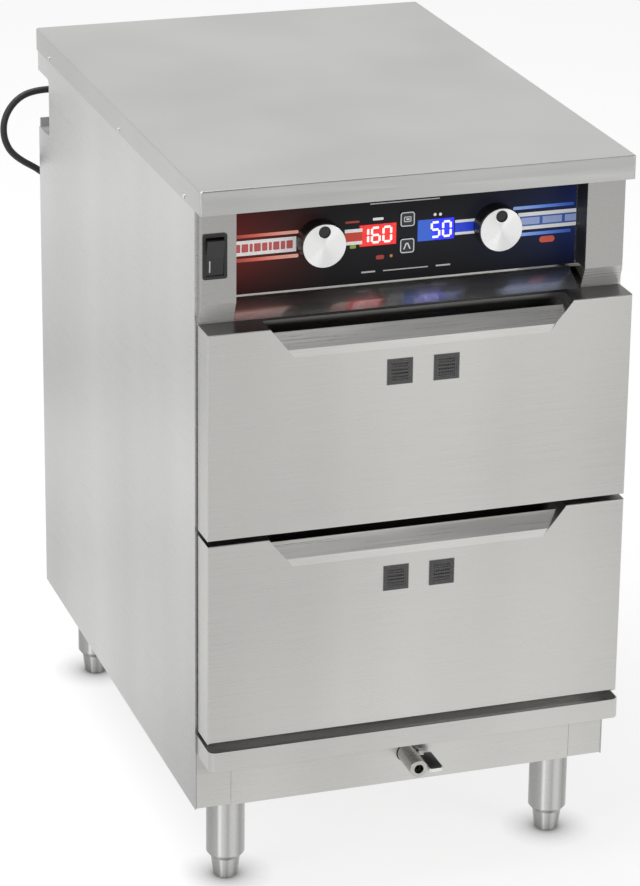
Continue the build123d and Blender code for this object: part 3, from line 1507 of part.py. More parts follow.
def write_casing():
    left = side_panel()
    save("left_side_panel", left)
    save("right_side_panel", mirrored(left))
    save("top_panel", top_panel())
    save("rear_panel", rear_panel())
    save("recess_wall", recess_wall())
    save("casing_screws", group(lip_screws() + rear_screws()))
    save("base_pan", base_pan())
    save("base_front_panel", base_front_panel())
    post = base_post()
    save("base_corner_posts", group([post, mirrored(post)]))
    save("drip_gutter", drip_gutter())
    save("legs", group([Pos(x, y, 0) * leg() for x, y in leg_places().values()]))
    for name, (x, y) in leg_places().items():
        save(f"{name}_foot", Pos(x, y, 0) * foot())


def write_cavity():
    save("face_frame", face_frame())
    save("cavity_liner", cavity_liner())
    save("insulation_blankets", group(insulation_blankets()))
    save("water_tank", water_tank())
    save("immersion_heater", immersion_heater())
    save("air_heater", air_heater())
    save("water_level_probe", level_probe())
    slides = [cabinet_slide(name) for name in DRAWER_NAMES]
    save("cabinet_slides", group(slides + [mirrored(piece) for piece in slides]))


def write_drawers():
    for name in DRAWER_NAMES:
        save(f"{name}_drawer_front", drawer_front(name))
        save(f"{name}_drawer_core", drawer_core(name))
        save(f"{name}_drawer_gasket", drawer_gasket(name))
        save(f"{name}_drawer_carriage", drawer_carriage(name))
        save(f"{name}_vent_plates", group(vent_plates(name)))
        save(f"{name}_pan", drawer_pan(name))
        slide = middle_slide(name)
        save(f"{name}_middle_slides", group([slide, mirrored(slide)]))


def write_controls():
    save("fascia", fascia())
    save("control_recess", control_recess())
    save("control_panel", control_panel())
    save("control_board", control_board())
    save("red_display", display("red"))
    save("blue_display", display("blue"))
    save("encoders", group(encoders()))
    for name in knob_places():
        save(f"{name}_knob", knob(name))
    for name in button_places():
        save(f"{name}_button", button(name))
    save("rocker_housing", rocker_housing())
    save("power_rocker", power_rocker())
    save("terminal_block", terminal_block())


def write_drain():
    save("drain_pipe", drain_pipe())
    save("drain_valve_body", drain_valve_body())
    save("drain_ball", drain_ball())
    save("drain_lever", drain_lever())


def write_cord():
    save("strain_relief", strain_relief())
    save("cord_run", cord_run())
    save("cord_coil", cord_coil())
    save("cord_tie", cord_tie())
    save("power_plug", power_plug())


write_casing()
write_cavity()
write_drawers()
write_controls()
write_drain()
write_cord()
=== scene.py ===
"""Looks of a countertop warming drawer: finishes, control markings, mains cord, stage and camera."""

from math import cos, pi, radians, sin, sqrt

import bmesh
import bpy
from bpy.props import FloatProperty, FloatVectorProperty, PointerProperty
from mathutils import Matrix, Vector


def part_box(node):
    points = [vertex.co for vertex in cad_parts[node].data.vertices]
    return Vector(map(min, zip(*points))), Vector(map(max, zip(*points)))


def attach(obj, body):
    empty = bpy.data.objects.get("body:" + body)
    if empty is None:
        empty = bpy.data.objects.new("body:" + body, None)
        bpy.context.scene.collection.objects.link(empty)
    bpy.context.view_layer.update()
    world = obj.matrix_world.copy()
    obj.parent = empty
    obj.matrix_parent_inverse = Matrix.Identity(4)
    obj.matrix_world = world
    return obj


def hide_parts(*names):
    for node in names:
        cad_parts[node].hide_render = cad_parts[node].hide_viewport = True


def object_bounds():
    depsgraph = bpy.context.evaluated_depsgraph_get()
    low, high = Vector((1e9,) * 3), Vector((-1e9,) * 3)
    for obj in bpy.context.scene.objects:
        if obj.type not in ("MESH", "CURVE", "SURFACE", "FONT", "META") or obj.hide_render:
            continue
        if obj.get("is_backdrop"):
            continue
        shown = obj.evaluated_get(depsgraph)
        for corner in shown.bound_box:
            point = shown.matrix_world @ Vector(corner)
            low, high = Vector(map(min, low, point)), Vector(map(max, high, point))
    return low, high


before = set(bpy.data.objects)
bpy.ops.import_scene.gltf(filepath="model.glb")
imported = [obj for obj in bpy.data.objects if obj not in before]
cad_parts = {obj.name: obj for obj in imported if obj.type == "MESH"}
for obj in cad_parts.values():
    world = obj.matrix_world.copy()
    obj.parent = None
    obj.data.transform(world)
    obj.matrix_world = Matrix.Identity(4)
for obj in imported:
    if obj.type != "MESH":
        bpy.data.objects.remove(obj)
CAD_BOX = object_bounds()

bl_info = {
    "name": "Warming drawer",
    "version": (1, 0, 0),
    "blender": (4, 5, 0),
    "location": "3D View > Sidebar > Warming drawer",
    "description": "Finishes, control markings, mains cord and stage of a two-drawer warming cabinet",
    "category": "Object",
}

MM = 0.001
FACING_FRONT = (pi / 2, 0, 0)  # turn of a flat primitive that faces the front
PANEL_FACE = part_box("control_panel")[0].y
LEVEL_GRAIN = (0.012, 0.012, 1.0)  # stretch of the brushing that runs level


# ---------------------------------------------------------------- sizes and colours


def middle(node, axis):
    """The middle of a node's box along x, y or z, given as 0, 1 or 2."""
    low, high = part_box(node)
    return (low[axis] + high[axis]) / 2


def length(name, about, metres):
    return FloatProperty(name=name, description=about, default=metres, min=0.0, unit="LENGTH", precision=5)


def colour(name, about, value):
    return FloatVectorProperty(
        name=name, description=about, default=value, size=3, min=0.0, max=1.0, subtype="COLOR"
    )


class WarmerSizes(bpy.types.PropertyGroup):
    cord_diameter: length("Cord diameter", "Outside diameter of the mains cord", 0.0085)
    cord_length: length("Cord length", "Length of the mains cord from its gland to its plug", 1.927)
    marking: length("Marking thickness", "How far printed markings stand off the panel", 0.00012)
    knob_disc: length("Knob disc radius", "Radius of the spun metal disc on each knob", 0.0243)
    knob_disc_thickness: length("Knob disc thickness", "How far the disc stands off the knob", 0.0006)
    digit_height: length("Digit height", "Height of the digits in the two displays", 0.0165)
    digit_width: length("Digit width", "Width of one digit", 0.0088)
    segment: length("Segment width", "Width of one lit bar of a digit", 0.0025)
    button_line: length("Button line", "Width of the line round each button", 0.0011)
    grip_inset: length("Grip inset", "Bright rim left round the grip of the drain lever", 0.0012)


class WarmerColours(bpy.types.PropertyGroup):
    steel: colour("Front steel", "Brushed stainless of the drawer fronts and casing", (0.60, 0.595, 0.576))
    side_steel: colour("Side steel", "Brushed stainless of the side panels", (0.635, 0.635, 0.63))
    top_steel: colour("Top steel", "Brushed stainless of the top panel", (0.56, 0.558, 0.545))
    # darker than the front steel: painted shade under the top's overhang
    shaded_head_steel: colour("Head steel", "Brushed stainless round the controls", (0.44, 0.435, 0.42))
    inner_steel: colour("Inner steel", "Satin sheet inside the cabinet", (0.60, 0.60, 0.59))
    pan_steel: colour("Pan steel", "Drawn steel of the food pans", (0.68, 0.68, 0.67))
    leg_steel: colour("Leg metal", "Satin plated legs and feet", (0.47, 0.468, 0.46))
    bright_metal: colour("Bright metal", "Plated valve and screws", (0.78, 0.78, 0.77))
    knob_metal: colour("Knob metal", "Spun aluminium discs on the knobs", (0.97, 0.97, 0.965))
    panel: colour("Control panel", "Dark ground of the control panel", (0.010, 0.0095, 0.0105))
    red_glow: colour("Red glow", "Red shading at the left of the panel", (0.115, 0.010, 0.008))
    blue_glow: colour("Blue glow", "Blue shading at the right of the panel", (0.010, 0.018, 0.075))
    red_display: colour("Red display", "Lit ground of the left display", (0.80, 0.030, 0.020))
    blue_display: colour("Blue display", "Lit ground of the right display", (0.012, 0.024, 0.86))
    red_streak: colour("Red streak", "Printed red lines beside the left knob", (0.66, 0.12, 0.085))
    blue_streak: colour("Blue streak", "Printed blue lines beside the right knob", (0.09, 0.22, 0.72))
    print_white: colour("White print", "White markings on the panel", (0.88, 0.88, 0.87))
    black_plastic: colour("Black plastic", "Knob bodies, switch and lever grip", (0.018, 0.018, 0.018))
    cord_black: colour("Cord jacket", "Jacket of the mains cord", (0.016, 0.016, 0.017))
    floor: colour("Floor", "Pale studio floor", (0.80, 0.80, 0.80))


# ---------------------------------------------------------------- material building


class Shading:
    """The nodes of one material or of the world."""

    def __init__(self, tree):
        self.tree = tree

    def node(self, kind, **values):
        """A new node, with its sockets and settings set by name."""
        made = self.tree.nodes.new(kind)
        for key, value in values.items():
            if key in made.inputs:
                made.inputs[key].default_value = value
            else:
                setattr(made, key, value)
        return made

    def link(self, start, end):
        self.tree.links.new(start, end)

    def ramp(self, source, stops):
        """stops are (position, colour) with colours of three numbers."""
        made = self.node("ShaderNodeValToRGB")
        while len(made.color_ramp.elements) < len(stops):
            made.color_ramp.elements.new(0.5)
        for element, (position, tint) in zip(made.color_ramp.elements, stops):
            element.position = position
            element.color = tuple(tint) + (1.0,)
        self.link(source, made.inputs["Fac"])
        return made.outputs["Color"]

    def greys(self, source, stops):
        """stops are (position, grey)."""
        return self.ramp(source, [(at, (grey,) * 3) for at, grey in stops])

    def maths(self, operation, first, second):
        """Two sockets, or a socket and a number, as one socket."""
        made = self.node("ShaderNodeMath", operation=operation)
        for place, value in enumerate((first, second)):
            if isinstance(value, (int, float)):
                made.inputs[place].default_value = value
            else:
                self.link(value, made.inputs[place])
        return made.outputs[0]

    def chosen(self, factor, first, second):
        """The first shader where factor is zero, the second where it is one."""
        made = self.node("ShaderNodeMixShader")
        self.link(factor, made.inputs["Fac"])
        self.link(first.outputs[0], made.inputs[1])
        self.link(second.outputs[0], made.inputs[2])
        return made


class Finish(Shading):
    """One node material: its shader and the textures that vary it."""

    def __init__(self, name, base, metallic=0.0, roughness=0.5):
        self.material = bpy.data.materials.new(name)
        self.material.use_nodes = True
        super().__init__(self.material.node_tree)
        self.shader = self.tree.nodes["Principled BSDF"]
        self.base = tuple(base) + (1.0,)
        self.set("Base Color", self.base)
        self.set("Metallic", metallic)
        self.set("Roughness", roughness)
        self.place = self.node("ShaderNodeTexCoord").outputs["Object"]
        self.facing = self.node("ShaderNodeNewGeometry").outputs["Normal"]
        self.material.diffuse_color = self.base

    def set(self, socket, value):
        self.shader.inputs[socket].default_value = value

    def vary(self, source, *sockets):
        """The shader's sockets follow source."""
        for socket in sockets:
            self.link(source, self.shader.inputs[socket])

    def stretched(self, scale):
        """Object coordinates scaled by axis."""
        mapping = self.node("ShaderNodeMapping", Scale=scale)
        self.link(self.place, mapping.inputs["Vector"])
        return mapping.outputs["Vector"]

    def noise(self, scale, axes=(1, 1, 1), detail=3.0, rough=0.55):
        made = self.node("ShaderNodeTexNoise", Scale=scale, Detail=detail, Roughness=rough)
        self.link(self.stretched(axes), made.inputs["Vector"])
        return made.outputs["Fac"]

    def spread(self, source, low, high, start=0.0, end=1.0):
        """source from start to end becomes low to high."""
        made = self.node("ShaderNodeMapRange")
        for key, value in (("From Min", start), ("From Max", end), ("To Min", low), ("To Max", high)):
            made.inputs[key].default_value = value
        self.link(source, made.inputs["Value"])
        return made.outputs["Result"]

    def tint(self, source, low, high, start=0.25, end=0.75):
        """Base colour that runs from low to high times itself as source rises."""
        dark = tuple(c * low for c in self.base[:3])
        light = tuple(min(1.0, c * high) for c in self.base[:3])
        self.vary(self.ramp(source, ((start, dark), (end, light))), "Base Color")

    def rough(self, source, low, high, start=0.3, end=0.7):
        """Roughness that runs from low to high as source rises."""
        self.vary(self.spread(source, low, high, start, end), "Roughness")

    def relief(self, source, strength, distance):
        """Bumps of the given height, in metres."""
        made = self.node("ShaderNodeBump", Strength=strength, Distance=distance)
        self.link(source, made.inputs["Height"])
        self.vary(made.outputs["Normal"], "Normal")

    def along(self, axis):
        """One object coordinate, in metres."""
        made = self.node("ShaderNodeSeparateXYZ")
        self.link(self.place, made.inputs["Vector"])
        return made.outputs[axis]

    def lean(self, direction):
        """How far a face looks in a direction, from minus one to one."""
        made = self.node("ShaderNodeVectorMath", operation="DOT_PRODUCT")
        self.link(self.facing, made.inputs[0])
        made.inputs[1].default_value = direction
        return made.outputs["Value"]

    def share(self, source, low, high):
        """How far source is on its way from low to high, from zero to one."""
        return self.spread(source, 0.0, 1.0, low, high)

    def both(self, first, second):
        """One where first and second are one."""
        return self.maths("MULTIPLY", first, second)

    def steps(self, source, low, high, stops):
        """Numbers up to two, at shares of the way from low to high."""
        halves = [(at, value / 2) for at, value in stops]
        return self.maths("MULTIPLY", self.greys(self.share(source, low, high), halves), 2.0)

    def dim(self, factor):
        """Base colour times a number."""
        colour_now = self.shader.inputs["Base Color"].links[0].from_socket
        made = self.node("ShaderNodeVectorMath", operation="SCALE")
        self.link(colour_now, made.inputs[0])
        self.link(factor, made.inputs["Scale"])
        self.vary(made.outputs["Vector"], "Base Color")


def brushed(name, base, roughness, grain, tangent_axis, anisotropy, contrast=1.0, turn=0.0):
    """Rolled and brushed stainless sheet. grain scales the grain by axis, small along the strokes."""
    made = Finish(name, base, 1.0, roughness)
    fine = made.noise(900.0, grain, 4.0, 0.6)
    broad = made.noise(7.0, (1.0, 1.0, 0.12), 1.0, 0.4)
    both = made.node("ShaderNodeMix", data_type="FLOAT", Factor=0.66)
    made.link(fine, both.inputs["A"])
    made.link(broad, both.inputs["B"])
    made.tint(both.outputs["Result"], 1 - 0.07 * contrast, 1 + 0.05 * contrast, 0.35, 0.65)
    made.rough(fine, roughness - 0.04, roughness + 0.05)
    made.relief(fine, 0.05, 0.00004)
    made.set("Anisotropic", anisotropy)
    made.set("Anisotropic Rotation", turn)
    if tangent_axis == "ROUND":
        level = made.node("ShaderNodeVectorMath", operation="CROSS_PRODUCT")
        level.inputs[1].default_value = (0, 0, 1)
        made.link(made.facing, level.inputs[0])
        made.vary(level.outputs["Vector"], "Tangent")
    else:
        tangent = made.node("ShaderNodeTangent", direction_type="RADIAL", axis=tangent_axis)
        made.vary(tangent.outputs["Tangent"], "Tangent")
    return made


def satin_metal(name, base, roughness, speckle=260.0, contrast=1.0):
    """Plated, cast or drawn metal with a fine even speckle."""
    made = Finish(name, base, 1.0, roughness)
    grain = made.noise(speckle, (1, 1, 1), 3.0, 0.6)
    made.tint(grain, 1 - 0.08 * contrast, 1 + 0.05 * contrast)
    made.rough(grain, roughness - 0.05, roughness + 0.08)
    made.relief(grain, 0.08, 0.00005)
    return made.material


def moulded(name, base, roughness, grain=1400.0, lift=0.1):
    """Moulded plastic or rubber with a fine spark-eroded grain."""
    made = Finish(name, base, 0.0, roughness)
    pits = made.noise(grain, (1, 1, 1), 2.0, 0.7)
    cloud = made.noise(60.0, (1, 1, 1), 3.0, 0.5)
    made.tint(cloud, 0.8, 1.3)
    made.rough(pits, roughness - 0.06, roughness + 0.08)
    made.relief(pits, lift, 0.00008)
    return made.material


def glowing(name, base, strength):
    """A marking that glows: lit digits, and printed marks that carry a painted glow."""
    made = Finish(name, base, 0.0, 0.35)
    made.set("Emission Strength", strength)
    patch = made.noise(500.0, (1, 1, 1), 2.0, 0.5)
    made.tint(patch, 0.93, 1.05)
    dull = tuple(c * 0.94 for c in base)
    made.vary(made.ramp(patch, ((0.3, dull), (0.7, tuple(base)))), "Emission Color")
    return made.material


def fading(name, stops, low, high, strength):
    """A printed line whose colour runs along X from low to high, in metres, with a painted glow in the same
    colours.
    """
    made = Finish(name, stops[0][1], 0.0, 0.35)
    shade = made.ramp(made.share(made.along("X"), low, high), stops)
    made.vary(shade, "Base Color", "Emission Color")
    made.set("Emission Strength", strength)
    return made.material


def paint(names, material):
    """CAD nodes take a finish in place of the plain one they came with."""
    for name in names:
        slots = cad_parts[name].data.materials
        slots.clear()
        slots.append(material)


# ---------------------------------------------------------------- modelling by hand


def clear():
    """Nothing is selected or open for editing."""
    if bpy.context.object and bpy.context.object.mode != "OBJECT":
        bpy.ops.object.mode_set(mode="OBJECT")
    bpy.ops.object.select_all(action="DESELECT")


def edit(piece):
    """The piece alone is open for editing."""
    clear()
    piece.select_set(True)
    bpy.context.view_layer.objects.active = piece
    bpy.ops.object.mode_set(mode="EDIT")


def drawn_plane(centre, width, height, turn=(0, 0, 0)):
    """A flat rectangle of the given size, ready to be shaped."""
    clear()
    bpy.ops.mesh.primitive_plane_add(size=1.0, location=centre, rotation=turn)
    piece = bpy.context.object
    piece.scale = (width, height, 1)
    bpy.ops.object.transform_apply(location=True, rotation=True, scale=True)
    return piece


def drawn_circle(centre, radius, vertices):
    """An open circle that faces the front."""
    clear()
    bpy.ops.mesh.primitive_circle_add(
        vertices=vertices, radius=radius, fill_type="NOTHING", location=centre, rotation=FACING_FRONT
    )
    bpy.ops.object.transform_apply(location=True, rotation=True, scale=True)
    return bpy.context.object


def pick_all():
    bpy.ops.mesh.select_all(action="SELECT")


def raised(shift):
    """Extrudes all that is drawn by shift."""
    pick_all()
    bpy.ops.mesh.extrude_region_move(TRANSFORM_OT_translate={"value": shift})


def finished_shell():
    """Turns all faces outwards and leaves edit mode."""
    pick_all()
    bpy.ops.mesh.normals_make_consistent(inside=False)
    bpy.ops.object.mode_set(mode="OBJECT")


def pick_faces(piece, test):
    """Selects the faces for which test(centre, normal) holds."""
    bpy.ops.mesh.select_mode(type="FACE")
    bpy.ops.mesh.select_all(action="DESELECT")
    mesh = bmesh.from_edit_mesh(piece.data)
    for face in mesh.faces:
        if test(face.calc_center_median(), face.normal):
            face.select_set(True)
    bmesh.update_edit_mesh(piece.data)


def pick_edges(piece, test):
    """Selects the edges for which test(one end, other end) holds."""
    bpy.ops.mesh.select_mode(type="EDGE")
    bpy.ops.mesh.select_all(action="DESELECT")
    mesh = bmesh.from_edit_mesh(piece.data)
    for line in mesh.edges:
        if test(line.verts[0].co, line.verts[1].co):
            line.select_set(True)
    bmesh.update_edit_mesh(piece.data)


def named(piece, name):
    """Gives the piece its name, with its place and turn in its mesh."""
    clear()
    piece.select_set(True)
    bpy.context.view_layer.objects.active = piece
    bpy.ops.object.transform_apply(location=True, rotation=True, scale=True)
    piece.name = name
    piece.data.name = name
    return piece


def dressed(piece, name, body, material):
    """A finished piece: named, painted, riding on its body."""
    named(piece, name)
    piece.data.materials.clear()
    piece.data.materials.append(material)
    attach(piece, body)
    return piece


def copied(piece, shift):
    """A copy of the piece with its own mesh, moved by shift."""
    twin = piece.copy()
    twin.data = piece.data.copy()
    twin.data.transform(Matrix.Translation(shift))
    bpy.context.scene.collection.objects.link(twin)
    return twin


def joined(pieces):
    """Several like bits as one piece."""
    clear()
    for bit in pieces:
        bit.select_set(True)
    bpy.context.view_layer.objects.active = pieces[0]
    if len(pieces) > 1:
        bpy.ops.object.join()
    return pieces[0]


def printed_patch(x0, x1, z0, z1, face, thickness, corner=0.0, slope=0.0):
    """A thin patch that faces the front: a rectangle with its corners rounded, lifted off the face."""
    height = (z0 + z1) / 2
    piece = drawn_plane(((x0 + x1) / 2, face, height), x1 - x0, z1 - z0, FACING_FRONT)
    edit(piece)
    if slope:
        mesh = bmesh.from_edit_mesh(piece.data)
        for point in mesh.verts:
            point.co.x += slope * (point.co.z - height)
        bmesh.update_edit_mesh(piece.data)
    if corner:
        pick_all()
        bpy.ops.mesh.bevel(offset=corner, segments=4, affect="VERTICES")
    raised((0, -thickness, 0))
    finished_shell()
    return piece


def printed_frame(x0, x1, z0, z1, face, thickness, line, corner):
    """A rounded outline of one line's width."""
    piece = printed_patch(x0, x1, z0, z1, face, thickness, corner)
    edit(piece)
    pick_faces(piece, lambda centre, normal: abs(abs(normal.y) - 1) < 0.01)
    bpy.ops.mesh.inset(thickness=line, depth=0)
    bpy.ops.mesh.bridge_edge_loops()
    finished_shell()
    return piece


# ---------------------------------------------------------------- camera and cord


class WARMER_OT_camera(bpy.types.Operator):
    """Stands the camera where the photograph was taken from"""

    bl_idname = "warmer.camera"
    bl_label = "Camera"

    def execute(self, context):
        place = (-1.23729, -3.70739, 1.91866)
        turn = (1.223795, -0.013704, -0.326382)
        clear()
        bpy.ops.object.camera_add(location=place, rotation=turn)
        eye = context.object
        eye.name = "camera"
        eye.data.lens = 142.96
        eye.data.sensor_width = 36.0
        eye.data.sensor_height = 36.0
        eye.data.sensor_fit = "AUTO"
        eye.data.shift_x = -0.03284
        eye.data.shift_y = -0.09067
        eye.data.clip_end = 200.0
        context.scene.camera = eye
        return {"FINISHED"}


class WARMER_OT_supply_cord(bpy.types.Operator):
    """Lays the mains cord from its gland, down behind the cabinet and into its tied coil"""

    bl_idname = "warmer.supply_cord"
    bl_label = "Supply cord"

    def execute(self, context):
        sizes = context.scene.warmer_sizes
        route = [
            (-167, 345.5, 748), (-167, 370.5, 748), (-179.7, 392.3, 748.2),
            (-201.8, 404.7, 748.5), (-246, 404.3, 748), (-268, 403.3, 735.2),
            (-281, 401.9, 713.2), (-281, 400.5, 688), (-268.5, 399.5, 666),
            (-230, 399.5, 643), (-215, 399.5, 617), (-203.4, 398.5, 580.2),
            (-193.5, 396.5, 522.4), (-184.9, 393.5, 417.3), (-179.7, 391.5, 307),
            (-175, 388.5, 191.4), (-172, 387.5, 91.6), (-169, 387.1, 41.4),
            (-156.1, 387.1, 18.6), (-133.5, 387.1, 5.6), (-107.5, 386, 5.6),
            (-83.5, 386, 5.6),
        ]
        coil_x, coil_y = -75, 440.5
        turns = 3.0
        steps = 48
        outer_radius = 54.5
        radius_per_turn = 9.6
        first_layer, layer_rise = 5.6, 9.3
        soften = 0.125  # rounds the change from winding in to winding out
        for step in range(1, steps):
            turn = turns * step / steps
            off = turn - turns / 2
            inward = sqrt((turns / 2) ** 2 + soften**2) - sqrt(off**2 + soften**2)
            reach = outer_radius - radius_per_turn * inward
            share = min(1.0, max(0.0, off / 0.5 + 0.5))
            climb = share**2 * (3 - 2 * share)
            angle = 2 * pi * turn - pi / 2
            x, y = coil_x + reach * cos(angle), coil_y + reach * sin(angle)
            route.append((x, y, first_layer + layer_rise * climb))
        top = first_layer + layer_rise
        route += [(-66.5, 386, top), (-40, 386, top), (-23, 386, top)]

        line = bpy.data.curves.new("supply_cord", "CURVE")
        line.dimensions = "3D"
        line.resolution_u = 10
        line.bevel_depth = sizes.cord_diameter / 2
        line.bevel_resolution = 5
        line.use_fill_caps = True
        spline = line.splines.new("NURBS")
        spline.points.add(len(route) - 1)
        for point, (x, y, z) in zip(spline.points, route):
            point.co = (x * MM, y * MM, z * MM, 1)
        spline.order_u = 3
        spline.use_endpoint_u = True
        cord = bpy.data.objects.new("supply_cord", line)
        context.scene.collection.objects.link(cord)

        jacket = Finish("cord_jacket", context.scene.warmer_colours.cord_black, 0.0, 0.42)
        ribs = jacket.noise(420.0, (1, 1, 1), 3.0, 0.6)
        jacket.tint(ribs, 0.75, 1.5)
        jacket.rough(ribs, 0.34, 0.5)
        jacket.relief(ribs, 0.15, 0.0001)
        line.materials.append(jacket.material)

        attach(cord, "cabinet")
        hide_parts("cord_run", "cord_coil")
        return {"FINISHED"}


# ---------------------------------------------------------------- finishes


def front_steel(name, tint):
    """Steel brushed level, as on the fronts and the sides."""
    return brushed(name, tint, 0.30, LEVEL_GRAIN, "Z", 0.7, 1.3)


def drawer_steel(tint):
    """Front steel with painted shade in the finger pulls and on its top faces, painted highlights on the
    pulls' folds and a painted light band across.
    """
    face_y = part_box("upper_drawer_front")[0].y
    steel = front_steel("brushed_drawer_steel", tint)
    up = steel.lean((0, 0, 1))
    across = steel.along("X")
    back = steel.along("Y")

    # painted shade: faces that look up, the tops and the pull's floor, and the pull's end and rear walls
    # are darkened
    floor = steel.share(up, 0.86, 0.95)
    sideways = steel.maths("ABSOLUTE", steel.lean((1, 0, 0)), 0.0)
    ends = steel.both(
        steel.share(sideways, 0.2, 0.5), steel.share(back, face_y + 0.0003, face_y + 0.0008)
    )
    rear = steel.share(back, face_y + 0.0162, face_y + 0.0168)
    inside = steel.steps(across, -0.2, 0.2, ((0.05, 0.0), (0.06, 1.0), (0.94, 1.0), (0.95, 0.0)))
    painted_pocket_shade = steel.both(steel.maths("MAXIMUM", ends, rear), inside)
    steel.dim(steel.spread(steel.maths("MAXIMUM", floor, painted_pocket_shade), 1.0, 0.24))

    # painted highlight on the pull's flap, stronger at the left
    lift = steel.steps(across, -0.15, 0.15, ((0.0, 0.34), (0.35, 0.30), (1.0, 0.22)))
    painted_flap_highlight = steel.both(steel.share(up, 0.35, 0.5), lift)
    steel.dim(steel.maths("ADD", painted_flap_highlight, 1.0))
    # painted highlight on faces that lean a little up
    steel.dim(steel.steps(up, 0.0, 0.5, ((0.16, 1.0), (0.26, 1.16), (0.5, 1.16), (0.7, 1.0))))
    # a painted light band a third of the way across the front
    painted_light_band = ((0.0, 1.0), (0.16, 1.02), (0.33, 1.13), (0.5, 1.11), (0.7, 1.04), (0.88, 1.02), (1.0, 0.98))
    steel.dim(steel.steps(across, -0.245, 0.245, painted_light_band))
    return steel.material


def side_steel(tint):
    """Side steel with painted light towards the top and painted shade low at the front."""
    steel = front_steel("brushed_side_steel", tint)
    height = steel.along("Z")
    # painted light: lighter towards the top
    steel.dim(steel.steps(height, 0.1, 0.8, ((0.0, 0.99), (0.4, 1.0), (0.65, 1.08), (0.95, 1.1))))
    # painted shade: darker low down towards the front
    painted_shade_low = steel.spread(height, 1, 0, 0.12, 0.5)
    painted_shade_fore = steel.spread(steel.along("Y"), 1, 0, -0.31, 0.1)
    steel.dim(steel.spread(steel.both(painted_shade_low, painted_shade_fore), 1.0, 0.78))
    return steel.material


def shaded_head_steel(tint):
    """Steel round the controls, with a painted highlight on the bend that faces down."""
    steel = brushed("brushed_head_steel", tint, 0.28, LEVEL_GRAIN, "Z", 0.7)
    # painted highlight: the bend that faces down mirrors less and is lightened, more at the left
    painted_bend_light = steel.share(steel.lean((0, 0, -1)), 0.2, 0.4)
    steel.vary(steel.spread(painted_bend_light, 1.0, 0.3), "Metallic")
    lift = steel.both(painted_bend_light, steel.spread(steel.along("X"), 1.2, 0.7, -0.24, 0.24))
    steel.dim(steel.maths("ADD", lift, 1.0))
    return steel.material


def ledge_steel(tint):
    """Polished steel of the sloping ledge, with a painted highlight on its front rim."""
    front_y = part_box("base_front_panel")[0].y
    steel = brushed("polished_ledge_steel", tint, 0.17, LEVEL_GRAIN, "Z", 0.85, 0.6, 0.25)
    rim = steel.share(steel.lean((0, -1, 0)), 0.6, 0.9)
    fore = steel.spread(steel.along("Y"), 0.82, 0.97, front_y, front_y + 0.03)
    steel.vary(steel.maths("MAXIMUM", fore, rim), "Metallic")
    # painted highlight: faces that look to the front are lightened
    steel.dim(steel.spread(rim, 1.0, 1.6))
    return steel.material


def leg_metal(tint):
    """Turned metal with upright stripes of painted reflection across each round leg."""
    metal = brushed("turned_leg_metal", tint, 0.26, (0.35, 0.35, 0.02), "ROUND", 0.8, 0.8, 0.25)
    to_the_right = (0.949, -0.317, 0)
    painted_reflection_stripes = ((0.0, 0.72), (0.2, 0.8), (0.29, 0.86), (0.365, 1.75), (0.43, 1.3), (0.58, 0.9))
    painted_reflection_stripes += ((0.66, 1.25), (0.74, 1.25), (0.88, 0.76), (1.0, 1.05))
    metal.dim(metal.steps(metal.lean(to_the_right), -1.0, 1.0, painted_reflection_stripes))
    return metal.material


def heater_oxide():
    """Metal that heat has stained brown and blue."""
    rod = Finish("heater_oxide", (0.20, 0.17, 0.15), 0.9, 0.5)
    heat = rod.noise(45.0, (1, 1, 1), 5.0, 0.6)
    stains = ((0.3, (0.10, 0.075, 0.07)), (0.55, (0.24, 0.19, 0.15)), (0.75, (0.16, 0.17, 0.24)))
    rod.vary(rod.ramp(heat, stains), "Base Color")
    rod.relief(rod.noise(600.0), 0.2, 0.0001)
    return rod.material


